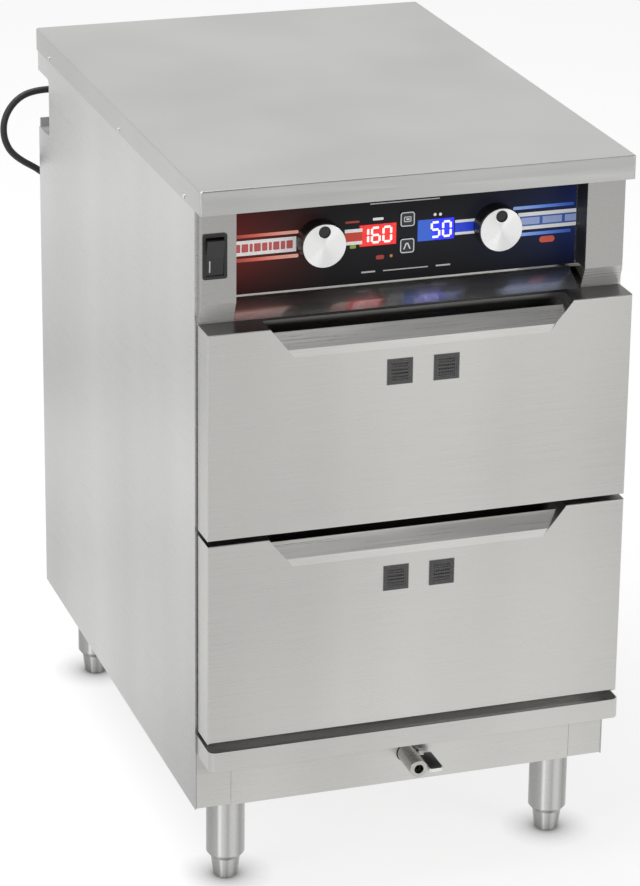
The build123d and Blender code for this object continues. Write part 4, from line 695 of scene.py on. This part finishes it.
class WARMER_OT_steel_finishes(bpy.types.Operator):
    """Gives the casing, drawers, pans, legs and valve their metal finishes"""

    bl_idname = "warmer.steel_finishes"
    bl_label = "Steel finishes"

    def execute(self, context):
        tints = context.scene.warmer_colours
        gutter = front_steel("brushed_gutter_steel", tints.steel)
        base = front_steel("brushed_base_steel", tints.steel)
        # painted shade on the base panel just under the gutter
        base.dim(base.spread(base.along("Z"), 0.98, 0.84, 0.148, 0.160))
        top = brushed("brushed_top_steel", tints.top_steel, 0.32, (0.012, 1.0, 1.0), "Y", 0.7)
        inner = brushed("rolled_inner_steel", tints.inner_steel, 0.36, LEVEL_GRAIN, "Z", 0.5)
        plating = satin_metal("bright_plating", tints.bright_metal, 0.14, 180.0, 0.7)
        slides = ("cabinet_slides", "upper_middle_slides", "lower_middle_slides")
        carriages = ("upper_drawer_carriage", "lower_drawer_carriage")
        feet = ("front_left_foot", "front_right_foot", "rear_left_foot", "rear_right_foot")
        lining = ("face_frame", "cavity_liner", "water_tank")
        for nodes, material in (
            (("upper_drawer_front", "lower_drawer_front"), drawer_steel(tints.steel)),
            (("drip_gutter",), gutter.material),
            (("base_front_panel", "base_corner_posts"), base.material),
            (("left_side_panel", "right_side_panel", "recess_wall"), side_steel(tints.side_steel)),
            (("top_panel",), top.material),
            (("fascia",), shaded_head_steel(tints.shaded_head_steel)),
            (("control_recess",), ledge_steel(tints.steel)),
            (
                ("upper_vent_plates", "lower_vent_plates"),
                satin_metal("dark_vent_screen", (0.20, 0.195, 0.20), 0.5, 700.0, 2.0),
            ),
            (("rear_panel", "base_pan") + lining, inner.material),
            (carriages + slides, satin_metal("plated_slide_steel", tints.inner_steel, 0.30)),
            (("upper_pan", "lower_pan"), satin_metal("drawn_pan_steel", tints.pan_steel, 0.40, 22.0, 0.5)),
            (("legs",) + feet, leg_metal(tints.leg_steel)),
            (("drain_ball", "casing_screws"), plating),
            (("drain_valve_body",), satin_metal("valve_plating", (0.50, 0.495, 0.47), 0.22, 240.0, 1.4)),
            (("drain_lever",), satin_metal("lever_steel", tints.bright_metal, 0.2, 300.0)),
            (("encoders",), satin_metal("encoder_aluminium", (0.62, 0.62, 0.61), 0.35)),
            (("drain_pipe",), satin_metal("pipe_brass", (0.72, 0.50, 0.25), 0.3, 120.0, 1.6)),
            (("immersion_heater", "air_heater", "water_level_probe"), heater_oxide()),
        ):
            paint(nodes, material)
        return {"FINISHED"}


class WARMER_OT_other_finishes(bpy.types.Operator):
    """Gives the plastic, rubber, glass wool and circuit board pieces their finishes"""

    bl_idname = "warmer.other_finishes"
    bl_label = "Other finishes"

    def execute(self, context):
        tints = context.scene.warmer_colours
        for nodes, material in (
            (
                ("left_knob", "right_knob", "rocker_housing", "terminal_block"),
                moulded("black_moulded_plastic", tints.black_plastic, 0.36),
            ),
            (("power_rocker",), moulded("rocker_plastic", (0.024, 0.024, 0.024), 0.28, 1200.0, 0.06)),
            (
                ("upper_button", "lower_button"),
                moulded("button_membrane", (0.035, 0.036, 0.04), 0.3, 900.0, 0.05),
            ),
            (
                ("upper_drawer_gasket", "lower_drawer_gasket"),
                moulded("silicone_seal", (0.045, 0.044, 0.043), 0.55),
            ),
            (("cord_tie",), moulded("tie_plastic", (0.03, 0.03, 0.03), 0.5, 800.0, 0.2)),
            (("strain_relief",), moulded("gland_rubber", (0.02, 0.02, 0.02), 0.5, 700.0, 0.2)),
        ):
            paint(nodes, material)

        dark_moulding, brass = (0.02, 0.02, 0.02), (0.72, 0.6, 0.35)
        plug = Finish("plug_rubber_and_pins", dark_moulding, 0.0, 0.4)
        pins = plug.share(plug.along("X"), 0.0346, 0.0352)
        plug.vary(plug.ramp(pins, ((0.4, dark_moulding), (0.6, brass))), "Base Color")
        plug.vary(plug.greys(pins, ((0.4, 0.0), (0.6, 1.0))), "Metallic")
        plug.relief(plug.noise(800.0), 0.15, 0.0001)
        paint(("power_plug",), plug.material)

        wool = Finish("glass_wool", (0.80, 0.72, 0.42), 0.0, 0.95)
        tuft = wool.noise(160.0, (1, 1, 2.5), 8.0, 0.7)
        wool.tint(tuft, 0.7, 1.12)
        wool.relief(tuft, 0.8, 0.002)
        paint(("insulation_blankets", "upper_drawer_core", "lower_drawer_core"), wool.material)

        board = Finish("circuit_board", (0.02, 0.16, 0.06), 0.0, 0.35)
        tracks = board.node("ShaderNodeTexVoronoi", Scale=260.0, feature="DISTANCE_TO_EDGE")
        board.link(board.place, tracks.inputs["Vector"])
        copper, lacquer = (0.05, 0.30, 0.12), (0.015, 0.13, 0.05)
        board.vary(board.ramp(tracks.outputs["Distance"], ((0.02, copper), (0.08, lacquer))), "Base Color")
        board.relief(tracks.outputs["Distance"], 0.2, 0.0001)
        paint(("control_board",), board.material)

        panel = Finish("control_panel_print", tints.panel, 0.0, 0.28)
        panel.set("Specular IOR Level", 0.09)
        # painted glow: the ground glows red at its left end and blue at its right, most at mid height
        shade = panel.ramp(
            panel.share(panel.along("X"), -0.205, 0.205),
            (
                (0.0, tuple(tints.red_glow)),
                (0.12, (0.062, 0.012, 0.010)),
                (0.30, tuple(tints.panel)),
                (0.66, (0.010, 0.011, 0.014)),
                (0.84, (0.009, 0.013, 0.034)),
                (1.0, tuple(tints.blue_glow)),
            ),
        )
        height = panel.greys(
            panel.share(panel.along("Z"), 0.700, 0.806),
            ((0.0, 0.16), (0.35, 0.8), (0.5, 1.0), (0.62, 0.8), (1.0, 0.3)),
        )
        mixed = panel.node("ShaderNodeMix", data_type="RGBA", blend_type="MULTIPLY", Factor=1.0)
        panel.link(shade, mixed.inputs["A"])
        panel.link(height, mixed.inputs["B"])
        panel.vary(mixed.outputs["Result"], "Emission Color")
        panel.set("Emission Strength", 1.1)
        film = panel.noise(1500.0, (1, 1, 1), 2.0, 0.6)
        panel.tint(film, 0.85, 1.15)
        panel.rough(film, 0.24, 0.34, 0.0, 1.0)
        panel.relief(film, 0.05, 0.00004)
        paint(("control_panel",), panel.material)

        for node, lit, edge, lit_from_edge in (
            ("red_display", tints.red_display, (0.62, 0.02, 0.02), False),
            ("blue_display", tints.blue_display, (0.022, 0.085, 0.45), True),
        ):
            low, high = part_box(node)
            glass = Finish(node + "_glass", lit, 0.0, 0.12)
            spot = glass.noise(220.0, (1, 1, 1), 2.0, 0.5)
            if lit_from_edge:
                across = glass.share(glass.along("X"), low.x, high.x)
                tint = glass.ramp(across, ((0.0, edge), (0.33, edge), (0.5, tuple(lit)), (1.0, tuple(lit))))
            else:
                tint = glass.ramp(spot, ((0.3, edge), (0.7, tuple(lit))))
            glass.vary(tint, "Base Color", "Emission Color")
            glass.set("Emission Strength", 0.8)
            glass.rough(spot, 0.08, 0.2, 0.0, 1.0)
            paint((node,), glass.material)
        return {"FINISHED"}


# ---------------------------------------------------------------- controls


class WARMER_OT_knob_discs(bpy.types.Operator):
    """Spins the two metal discs that lie on the knobs, each with a hole over the knob's dimple"""

    bl_idname = "warmer.knob_discs"
    bl_label = "Knob discs"

    def execute(self, context):
        sizes = context.scene.warmer_sizes
        metal = Finish("spun_aluminium", context.scene.warmer_colours.knob_metal, 1.0, 0.34)
        metal.set("Anisotropic", 0.8)
        metal.set("Anisotropic Rotation", 0.25)
        turned = metal.node("ShaderNodeTangent", direction_type="RADIAL", axis="Y")
        metal.vary(turned.outputs["Tangent"], "Tangent")
        rings = metal.noise(1400.0, (1, 1, 1), 2.0, 0.5)
        metal.tint(rings, 0.97, 1.03)
        metal.rough(rings, 0.3, 0.4, 0.0, 1.0)

        dimple_radius = 0.0067
        dimple_rise = 0.0155  # from the middle of the knob
        circles = ((sizes.knob_disc, 0.0), (dimple_radius, dimple_rise))
        disc = joined([drawn_circle((0, 0, rise), radius, 96) for radius, rise in circles])
        edit(disc)
        bpy.ops.mesh.select_mode(type="EDGE")
        pick_all()
        bpy.ops.mesh.bridge_edge_loops()
        raised((0, -sizes.knob_disc_thickness, 0))
        pick_all()
        bpy.ops.mesh.normals_make_consistent(inside=False)

        def on_rim(point):
            front = abs(point.y + sizes.knob_disc_thickness) < 1e-6
            return front and any(abs(Vector((point.x, point.z - h)).length - r) < 1e-5 for r, h in circles)

        pick_edges(disc, lambda a, b: on_rim(a) and on_rim(b) and (a - b).length < 0.002)
        bpy.ops.mesh.bevel(offset=0.00035, segments=2)
        bpy.ops.object.mode_set(mode="OBJECT")
        face_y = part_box("left_knob")[0].y
        height = middle("left_knob", 2)
        for name in ("left_knob", "right_knob"):
            twin = copied(disc, (middle(name, 0), face_y, height))
            dressed(twin, name + "_disc", name, metal.material)
        bpy.data.objects.remove(disc)
        return {"FINISHED"}


class WARMER_OT_display_digits(bpy.types.Operator):
    """Lights the seven-bar digits of the two displays"""

    bl_idname = "warmer.display_digits"
    bl_label = "Display digits"

    BARS = {"0": "abcdef", "1": "bc", "5": "acdfg", "6": "acdefg"}

    def execute(self, context):
        sizes = context.scene.warmer_sizes
        w, h, half = sizes.digit_width, sizes.digit_height, sizes.segment / 2
        gap = sizes.segment * 0.35
        thickness = 0.0002
        corner = half * 0.55
        level = printed_patch(gap, w - gap, -half, half, 0, thickness, corner)
        upright = printed_patch(-half, half, gap, h / 2 - gap, 0, thickness, corner)
        bars = {
            "a": (level, 0, h),
            "b": (upright, w, h / 2),
            "c": (upright, w, 0),
            "d": (level, 0, 0),
            "e": (upright, 0, 0),
            "f": (upright, 0, h / 2),
            "g": (level, 0, h / 2),
        }
        light = glowing("lit_digits", (0.98, 0.93, 0.93), 0.75)
        pitch = 0.0132  # from one digit to the next
        starts = (("red_display", "160", -0.0485), ("blue_display", "50", 0.0335))
        for node, figures, start in starts:
            face_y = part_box(node)[0].y
            base = middle(node, 2) - h / 2
            lit = []
            for index, figure in enumerate(figures):
                for bar, x, z in (bars[key] for key in self.BARS[figure]):
                    lit.append(copied(bar, (start + index * pitch + x, face_y, base + z)))
            dressed(joined(lit), node + "_digits", "cabinet", light)
        bpy.data.objects.remove(level)
        bpy.data.objects.remove(upright)
        return {"FINISHED"}


class WARMER_OT_button_marks(bpy.types.Operator):
    """Prints the outline and the symbol of each button"""

    bl_idname = "warmer.button_marks"
    bl_label = "Button marks"

    def place(self, node, left, right, below, above):
        """Sides of a mark, given from the middle of its button, then its face and its thickness."""
        x, z = middle(node, 0), middle(node, 2)
        thickness = bpy.context.scene.warmer_sizes.marking
        return x + left, x + right, z + below, z + above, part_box(node)[0].y, thickness

    def execute(self, context):
        # the button print carries a painted glow
        white = glowing("button_print", (0.72, 0.73, 0.74), 0.25)
        line = context.scene.warmer_sizes.button_line
        for name in ("upper_button", "lower_button"):
            low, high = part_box(name)
            half = (high.x - low.x) / 2 - 0.0002
            bits = [printed_frame(*self.place(name, -half, half, -half, half), line, 0.0028)]
            if name == "upper_button":
                screen = self.place(name, -0.0042, 0.0042, -0.003, 0.003)
                inside = self.place(name, -0.0017, 0.0023, -0.0009, 0.0009)
                bits += [printed_frame(*screen, 0.0009, 0.0011), printed_patch(*inside, 0.0004)]
            else:
                for left, right, slope in ((-0.0032, -0.0016, 0.42), (0.0010, 0.0026, -0.42)):
                    arm = self.place(name, left, right, -0.0038, 0.0034)
                    bits.append(printed_patch(*arm, 0.0, slope))
            dressed(joined(bits), name + "_marks", name, white)
        return {"FINISHED"}


class WARMER_OT_panel_print(bpy.types.Operator):
    """Prints the bands, streaks and small marks on the control panel"""

    bl_idname = "warmer.panel_print"
    bl_label = "Panel print"

    def printed(self, name, rows, mark_finish):
        """rows are x0, x1, z0, z1 in millimetres, with a corner radius, slope and layers where wanted."""
        thickness = bpy.context.scene.warmer_sizes.marking
        bits = []
        for row in rows:
            x0, x1, z0, z1 = (value * MM for value in row[:4])
            corner, slope, layers = row[4:] + (0.0, 0.0, 1.0)[len(row) - 4 :]
            bits.append(
                printed_patch(x0, x1, z0, z1, PANEL_FACE, thickness * layers, corner * MM, slope)
            )
        dressed(joined(bits), name, "cabinet", mark_finish)

    def plain(self, name, rows, tint, strength):
        """Patches in one even ink, with a painted glow of the given strength."""
        self.printed(name, rows, glowing(name + "_ink", tint, strength))

    def execute(self, context):
        tints = context.scene.warmer_colours
        white_bands = (
            (-203.6, -121.5, 743.4, 760.2),
            (134, 203.6, 759.4, 763.6),
            (134, 203.6, 744.0, 748.0),
            (-66.5, -46.5, 758.6, 762.4),
            (-66.5, -46.5, 744.6, 748.4),
            (60.5, 85, 759.2, 762.2),
            (60.5, 85, 745.2, 748.2),
            (-34.5, -22.5, 770.1, 773.0, 0.5),
        )
        self.plain("white_bands", white_bands, tuple(tints.print_white), 0.3)

        red_fade = ((0.0, (0.22, 0.02, 0.015)), (0.45, tuple(tints.red_streak)), (1.0, (0.88, 0.45, 0.36)))
        self.printed(
            "red_streaks",
            ((-202, -119, 763.4, 767.0, 1.2), (-202, -119, 736.4, 740.4, 1.2)),
            fading("red_streak_ink", red_fade, -0.202, -0.119, 0.4),
        )
        marks = []
        place = -200.0
        for width in (9.0, 5.0, 7.5, 3.5, 7.5, 6.0, 3.5, 7.0, 5.0, 7.0):
            marks.append((place, place + width, 747.2, 756.4, 0.8, 0.0, 2.0))
            place += width + 1.5
        self.plain("red_marks", marks, (0.62, 0.11, 0.11), 0.2)

        blue_fade = ((0.0, (0.30, 0.46, 0.86)), (0.55, tuple(tints.blue_streak)), (1.0, (0.04, 0.10, 0.42)))
        self.printed(
            "blue_streaks",
            ((128, 200, 767.6, 771.2, 1.4), (136, 197, 736.8, 740.6, 1.4)),
            fading("blue_streak_ink", blue_fade, 0.128, 0.2, 0.4),
        )
        self.plain("blue_band", ((134, 203.6, 748.0, 759.4),), (0.05, 0.12, 0.42), 0.3)
        sides = ((138, 159.5), (163, 186), (189.5, 203.2))
        marks = [(left, right, 749.8, 757.6, 0.6, 0.0, 2.0) for left, right in sides]
        self.plain("blue_marks", marks, (0.38, 0.48, 0.80), 0.25)

        icons = ((-66, -50, 769.2, 771.6, 0.9), (-30.5, -21, 725.4, 730.2, 2.0))
        dots = ((35.2, 38.6, 769.1, 772.5, 1.65), (41.5, 44.9, 768.9, 772.3, 1.65))
        rules = (
            (-47, -31, 711.2, 713.0, 0.6),
            (39, 56, 711.2, 713.0, 0.6),
            (-22, 30, 711.4, 712.6, 0.4),
            (-38, 42, 788.4, 789.6, 0.4),
        )
        for name, rows, tint, strength in (
            ("blue_link", ((60.5, 85, 748.2, 759.2),), (0.015, 0.05, 0.62), 0.5),
            ("red_link", ((-66.5, -46.5, 748.4, 758.6),), (0.55, 0.05, 0.03), 0.4),
            ("red_icons", icons, (0.36, 0.045, 0.03), 0.3),
            ("red_oval", ((160, 178, 727.4, 734.6, 3.5),), (0.62, 0.10, 0.06), 0.35),
            ("green_icon", ((-60.5, -53.5, 740.4, 744.4, 1.2),), (0.30, 0.42, 0.05), 0.3),
            ("orange_dot", ((-14.6, -11.2, 726.6, 730.0, 1.6),), (0.55, 0.22, 0.07), 0.3),
            ("white_dots", dots, (0.85, 0.82, 0.74), 0.35),
            ("white_rules", rules, (0.55, 0.55, 0.54), 0.2),
        ):
            self.plain(name, rows, tint, strength)
        return {"FINISHED"}


class WARMER_OT_switch_mark(bpy.types.Operator):
    """Draws a thin light line at the foot of the mains rocker: a painted highlight on the paddle"""

    bl_idname = "warmer.switch_mark"
    bl_label = "Switch mark"

    def execute(self, context):
        low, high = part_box("power_rocker")
        x = low.x + (high.x - low.x) * 0.24
        left, right = x - 0.0007, x + 0.0007
        foot, head = low.z + 0.004, low.z + 0.017
        bit = printed_patch(left, right, foot, head, low.y, 0.0002, 0.0004)
        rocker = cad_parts["power_rocker"]
        faces = [
            (rocker.data.vertices[polygon.vertices[0]].co, polygon.normal, polygon.area)
            for polygon in rocker.data.polygons
            if polygon.center.z < (low.z + high.z) / 2 and polygon.normal.y < -0.8
        ]
        point, normal = max(faces, key=lambda item: item[2])[:2]
        for vertex in bit.data.vertices:
            lift = low.y - vertex.co.y
            fall = normal.z * (vertex.co.z - point.z) + normal.x * (vertex.co.x - point.x)
            vertex.co.y = point.y - fall / normal.y
            vertex.co.y -= lift + 0.00002
        # the light line is a painted highlight, with a faint glow
        mark_finish = glowing("rocker_painted_highlight", (0.6, 0.6, 0.6), 0.1)
        dressed(bit, "rocker_line", "rocker", mark_finish)
        return {"FINISHED"}


class WARMER_OT_lever_grip(bpy.types.Operator):
    """Moulds the black grip that lies in the drain lever, inside its bright rim"""

    bl_idname = "warmer.lever_grip"
    bl_label = "Lever grip"

    def execute(self, context):
        inset = context.scene.warmer_sizes.grip_inset
        low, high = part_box("drain_lever")
        hub_side = 0.0182
        neck = 0.006
        top = 0.1425
        x0, x1 = hub_side, high.x - inset
        y0, y1 = low.y + inset, high.y - neck
        grip = drawn_plane(((x0 + x1) / 2, (y0 + y1) / 2, top), x1 - x0, y1 - y0)
        edit(grip)
        pick_all()
        bpy.ops.mesh.bevel(offset=0.0028, segments=5, affect="VERTICES")
        raised((0, 0, 0.0012))
        bpy.ops.mesh.inset(thickness=0.0006, depth=0.0004)
        finished_shell()
        bpy.ops.object.shade_smooth_by_angle(angle=radians(35))
        vinyl = moulded("grip_vinyl", context.scene.warmer_colours.black_plastic, 0.38, 700.0, 0.15)
        dressed(grip, "drain_lever_grip", "drain_tap", vinyl)
        return {"FINISHED"}


class WARMER_OT_vent_screens(bpy.types.Operator):
    """Weaves the fine screens that lie over the drawers' vent bars"""

    bl_idname = "warmer.vent_screens"
    bl_label = "Vent screens"

    def execute(self, context):
        wire = satin_metal("vent_wire", (0.26, 0.255, 0.26), 0.45, 900.0, 2.0)
        low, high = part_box("upper_vent_plates")
        side = high.z - low.z
        cells = 13
        margin = 0.0022
        wave = 0.00012
        clear()
        bpy.ops.mesh.primitive_grid_add(
            x_subdivisions=cells, y_subdivisions=cells, size=side - margin, rotation=FACING_FRONT
        )
        screen = context.object
        bpy.ops.object.transform_apply(location=True, rotation=True, scale=True)
        edit(screen)
        mesh = bmesh.from_edit_mesh(screen.data)
        for point in mesh.verts:
            row, column = (round(place / side * cells + cells / 2) for place in (point.co.z, point.co.x))
            point.co.y += wave if (row + column) % 2 else -wave
        bmesh.update_edit_mesh(screen.data)
        bpy.ops.object.mode_set(mode="OBJECT")
        woven = screen.modifiers.new("woven", "WIREFRAME")
        woven.thickness = 0.0009
        woven.use_even_offset = False
        bpy.ops.object.modifier_apply(modifier="woven")
        for drawer in ("upper", "lower"):
            low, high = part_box(drawer + "_vent_plates")
            face_y, height = low.y - 0.0003, (low.z + high.z) / 2
            pair = [copied(screen, (x, face_y, height)) for x in (low.x + side / 2, high.x - side / 2)]
            dressed(joined(pair), drawer + "_vent_screens", drawer + "_drawer", wire)
        bpy.data.objects.remove(screen)
        return {"FINISHED"}


class WARMER_OT_head_trim(bpy.types.Operator):
    """Adds the bright end strip of the control panel, and a dark sheet on the window's end wall as painted
    shade between it and the window
    """

    bl_idname = "warmer.head_trim"
    bl_label = "Head trim"

    def execute(self, context):
        low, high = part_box("control_panel")
        left, right, foot = high.x - 0.0016, high.x + 0.0001, low.z + 0.002
        strip = printed_patch(left, right, foot, high.z, low.y, 0.0012, 0.0004)
        metal = satin_metal("end_strip_metal", (0.72, 0.70, 0.64), 0.3)
        dressed(strip, "panel_end_strip", "cabinet", metal)

        wall = high.x + 0.00022
        # a dark moulded sheet on the window's end wall: painted shade
        shade_sheet_y, shade_sheet_depth, shade_sheet_height = -0.2985, 0.026, high.z - low.z - 0.006
        facing_left = (0, -pi / 2, 0)
        shade_sheet = drawn_plane((wall, shade_sheet_y, (low.z + high.z) / 2), shade_sheet_height, shade_sheet_depth, facing_left)
        edit(shade_sheet)
        raised((-0.0008, 0, 0))
        bpy.ops.mesh.inset(thickness=0.0008, depth=0.0003)
        finished_shell()
        dark_moulding = moulded("window_shade_sheet", (0.02, 0.02, 0.019), 0.5)
        dressed(shade_sheet, "window_end_shade_sheet", "cabinet", dark_moulding)
        return {"FINISHED"}


class WARMER_OT_valve_plate(bpy.types.Operator):
    """Cuts the plate that closes the base's opening round the drain valve"""

    bl_idname = "warmer.valve_plate"
    bl_label = "Valve plate"

    def execute(self, context):
        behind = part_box("base_front_panel")[0].y
        x, z = 0.004, 0.1435  # the axis of the valve
        bore = 0.0112
        right, left, above, below = 0.02298, -0.02298, 0.02648, -0.01948  # sides of the opening, from it
        plate = drawn_circle((x, behind, z), bore, 32)
        edit(plate)
        pick_all()
        bpy.ops.mesh.extrude_edges_move()
        mesh = bmesh.from_edit_mesh(plate.data)
        rim = [point for point in mesh.verts if point.select]
        for point in rim:
            reach = Vector((point.co.x - x, 0, point.co.z - z))
            across = (right if reach.x > 0 else left) / (reach.x or 1e-6)
            up = (above if reach.z > 0 else below) / (reach.z or 1e-6)
            point.co = Vector((x, behind, z)) + reach * min(abs(across), abs(up))
        for corner in ((right, above), (left, above), (left, below), (right, below)):
            place = Vector((x + corner[0], behind, z + corner[1]))
            min(rim, key=lambda point: (point.co - place).length).co = place
        bmesh.update_edit_mesh(plate.data)
        raised((0, 0.0008, 0))
        finished_shell()
        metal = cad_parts["base_front_panel"].data.materials[0]
        dressed(plate, "valve_plate", "cabinet", metal)
        return {"FINISHED"}


# ---------------------------------------------------------------- stage


class WARMER_OT_stage(bpy.types.Operator):
    """Lays the pale floor and hangs the soft studio lamps"""

    bl_idname = "warmer.stage"
    bl_label = "Stage"

    def lamp(self, name, place, target, size, power):
        clear()
        bpy.ops.object.light_add(type="AREA", location=place)
        made = bpy.context.object
        made.name = name
        made.data.shape = "RECTANGLE"
        made.data.size, made.data.size_y = size
        made.data.energy = power
        made.rotation_euler = (Vector(target) - Vector(place)).to_track_quat("-Z", "Y").to_euler()

    def execute(self, context):
        context.scene.view_settings.view_transform = "Standard"
        clear()
        bpy.ops.mesh.primitive_plane_add(size=60.0)
        floor = context.object
        edit(floor)
        pick_all()
        bpy.ops.mesh.subdivide(number_cuts=12)
        bpy.ops.object.mode_set(mode="OBJECT")
        named(floor, "studio_floor")
        floor.data.materials.append(self.floor_finish(tuple(context.scene.warmer_colours.floor) + (1.0,)))
        floor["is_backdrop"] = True
        context.scene.world = self.studio_air()

        self.lamp("overhead_softbox", (-1.2, 0.6, 4.2), (0, 0, 0.4), (3.6, 3.2), 92)
        self.lamp("left_softbox", (-4.2, -1.6, 2.0), (0, 0, 0.5), (2.2, 2.8), 42)
        self.lamp("right_softbox", (3.2, -3.6, 2.2), (0, 0, 0.4), (1.8, 2.6), 34)
        return {"FINISHED"}

    def floor_finish(self, tint):
        """A pale floor that looks bright to the camera and in mirrors, with a painted contact shadow close
        to the legs.
        """
        ground = bpy.data.materials.new("studio_floor")
        ground.use_nodes = True
        nodes = Shading(ground.node_tree)
        nodes.tree.nodes.clear()
        out = nodes.node("ShaderNodeOutputMaterial")
        plain = nodes.node("ShaderNodeBsdfDiffuse", Color=tint)
        rays = nodes.node("ShaderNodeLightPath").outputs

        spots = nodes.node("ShaderNodeTexNoise", Scale=1.1, Detail=1.0)
        nodes.link(nodes.node("ShaderNodeTexCoord").outputs["Object"], spots.inputs["Vector"])
        grey = (0.72, 0.72, 0.72, 1.0)
        mirrored = nodes.node("ShaderNodeMix", data_type="RGBA", A=grey)
        nodes.link(rays["Is Glossy Ray"], mirrored.inputs["Factor"])
        nodes.link(nodes.greys(spots.outputs["Fac"], ((0.35, 0.40), (0.65, 0.72))), mirrored.inputs["B"])

        seen = nodes.node("ShaderNodeBsdfDiffuse")
        bright = nodes.node("ShaderNodeEmission")
        nodes.link(mirrored.outputs["Result"], bright.inputs["Color"])
        # painted contact shadow: darker where the floor is close to the legs
        painted_contact_shadow = nodes.node("ShaderNodeAmbientOcclusion", samples=8, Distance=0.044)
        for socket, open_value in ((bright.inputs["Strength"], 1.0), (seen.inputs["Color"], 0.37)):
            stops = ((0.45, 0.28 * open_value), (0.75, 0.72 * open_value), (0.95, open_value))
            nodes.link(nodes.greys(painted_contact_shadow.outputs["AO"], stops), socket)
        both = nodes.node("ShaderNodeAddShader")
        nodes.link(seen.outputs[0], both.inputs[0])
        nodes.link(bright.outputs[0], both.inputs[1])

        looked_at = nodes.maths("MAXIMUM", rays["Is Camera Ray"], rays["Is Glossy Ray"])
        looked_at = nodes.maths("MAXIMUM", looked_at, rays["Is Transmission Ray"])
        nodes.link(nodes.chosen(looked_at, plain, both).outputs[0], out.inputs["Surface"])
        return ground

    def studio_air(self):
        """White to the camera, soft as light, and shaded in mirrors with a darker patch up at the right."""
        world = bpy.data.worlds.new("studio_air")
        world.use_nodes = True
        nodes = Shading(world.node_tree)
        nodes.tree.nodes.clear()
        out = nodes.node("ShaderNodeOutputWorld")
        around = nodes.node("ShaderNodeTexCoord").outputs["Generated"]
        split = nodes.node("ShaderNodeSeparateXYZ")
        nodes.link(around, split.inputs["Vector"])
        rise = nodes.greys(split.outputs["Z"], ((0.0, 0.88), (0.45, 0.84), (1.0, 0.78)))
        toward = nodes.node("ShaderNodeVectorMath", operation="DOT_PRODUCT")
        toward.inputs[1].default_value = (0.38, -0.48, 0.79)
        nodes.link(around, toward.inputs[0])
        hollow = nodes.greys(toward.outputs["Value"], ((0.55, 1.0), (0.82, 0.47), (1.0, 0.22)))
        shaded = nodes.node("ShaderNodeMix", data_type="RGBA", blend_type="MULTIPLY", Factor=1.0)
        nodes.link(rise, shaded.inputs["A"])
        nodes.link(hollow, shaded.inputs["B"])

        soft = nodes.node("ShaderNodeBackground", Strength=0.5)
        mirrored = nodes.node("ShaderNodeBackground")
        nodes.link(shaded.outputs["Result"], mirrored.inputs["Color"])
        white = nodes.node("ShaderNodeBackground", Color=(1, 1, 1, 1), Strength=1.0)
        rays = nodes.node("ShaderNodeLightPath").outputs
        direct = nodes.maths("MAXIMUM", rays["Is Camera Ray"], rays["Is Transmission Ray"])
        light = nodes.chosen(rays["Is Glossy Ray"], soft, mirrored)
        nodes.link(nodes.chosen(direct, light, white).outputs[0], out.inputs["Surface"])
        return world


# ---------------------------------------------------------------- panel and registration

STEPS = (
    WARMER_OT_camera,
    WARMER_OT_supply_cord,
    WARMER_OT_steel_finishes,
    WARMER_OT_other_finishes,
    WARMER_OT_knob_discs,
    WARMER_OT_display_digits,
    WARMER_OT_button_marks,
    WARMER_OT_panel_print,
    WARMER_OT_switch_mark,
    WARMER_OT_lever_grip,
    WARMER_OT_vent_screens,
    WARMER_OT_head_trim,
    WARMER_OT_valve_plate,
    WARMER_OT_stage,
)


class WARMER_PT_sidebar(bpy.types.Panel):
    """Lists the pieces and finishes of the warming drawer"""

    bl_idname = "WARMER_PT_sidebar"
    bl_label = "Warming drawer"
    bl_space_type = "VIEW_3D"
    bl_region_type = "UI"
    bl_category = "Warming drawer"

    def draw(self, context):
        for step in STEPS:
            self.layout.operator(step.bl_idname)
        for group in (context.scene.warmer_sizes, context.scene.warmer_colours):
            box = self.layout.box()
            for name in group.__annotations__:
                box.prop(group, name)


def register():
    for kind in (WarmerSizes, WarmerColours) + STEPS + (WARMER_PT_sidebar,):
        bpy.utils.register_class(kind)
    bpy.types.Scene.warmer_sizes = PointerProperty(type=WarmerSizes)
    bpy.types.Scene.warmer_colours = PointerProperty(type=WarmerColours)


def unregister():
    del bpy.types.Scene.warmer_colours
    del bpy.types.Scene.warmer_sizes
    for kind in reversed((WarmerSizes, WarmerColours) + STEPS + (WARMER_PT_sidebar,)):
        bpy.utils.unregister_class(kind)


def main():
    register()
    bpy.ops.warmer.camera()
    bpy.ops.warmer.supply_cord()
    bpy.ops.warmer.steel_finishes()
    bpy.ops.warmer.other_finishes()
    bpy.ops.warmer.knob_discs()
    bpy.ops.warmer.display_digits()
    bpy.ops.warmer.button_marks()
    bpy.ops.warmer.panel_print()
    bpy.ops.warmer.switch_mark()
    bpy.ops.warmer.lever_grip()
    bpy.ops.warmer.vent_screens()
    bpy.ops.warmer.head_trim()
    bpy.ops.warmer.valve_plate()
    bpy.ops.warmer.stage()
    clear()
    bpy.context.view_layer.update()
    plain = lambda box: [list(map(float, corner)) for corner in box]
    {"cad": plain(CAD_BOX), "visual": plain(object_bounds())}


if __name__ == "__main__":
    main()
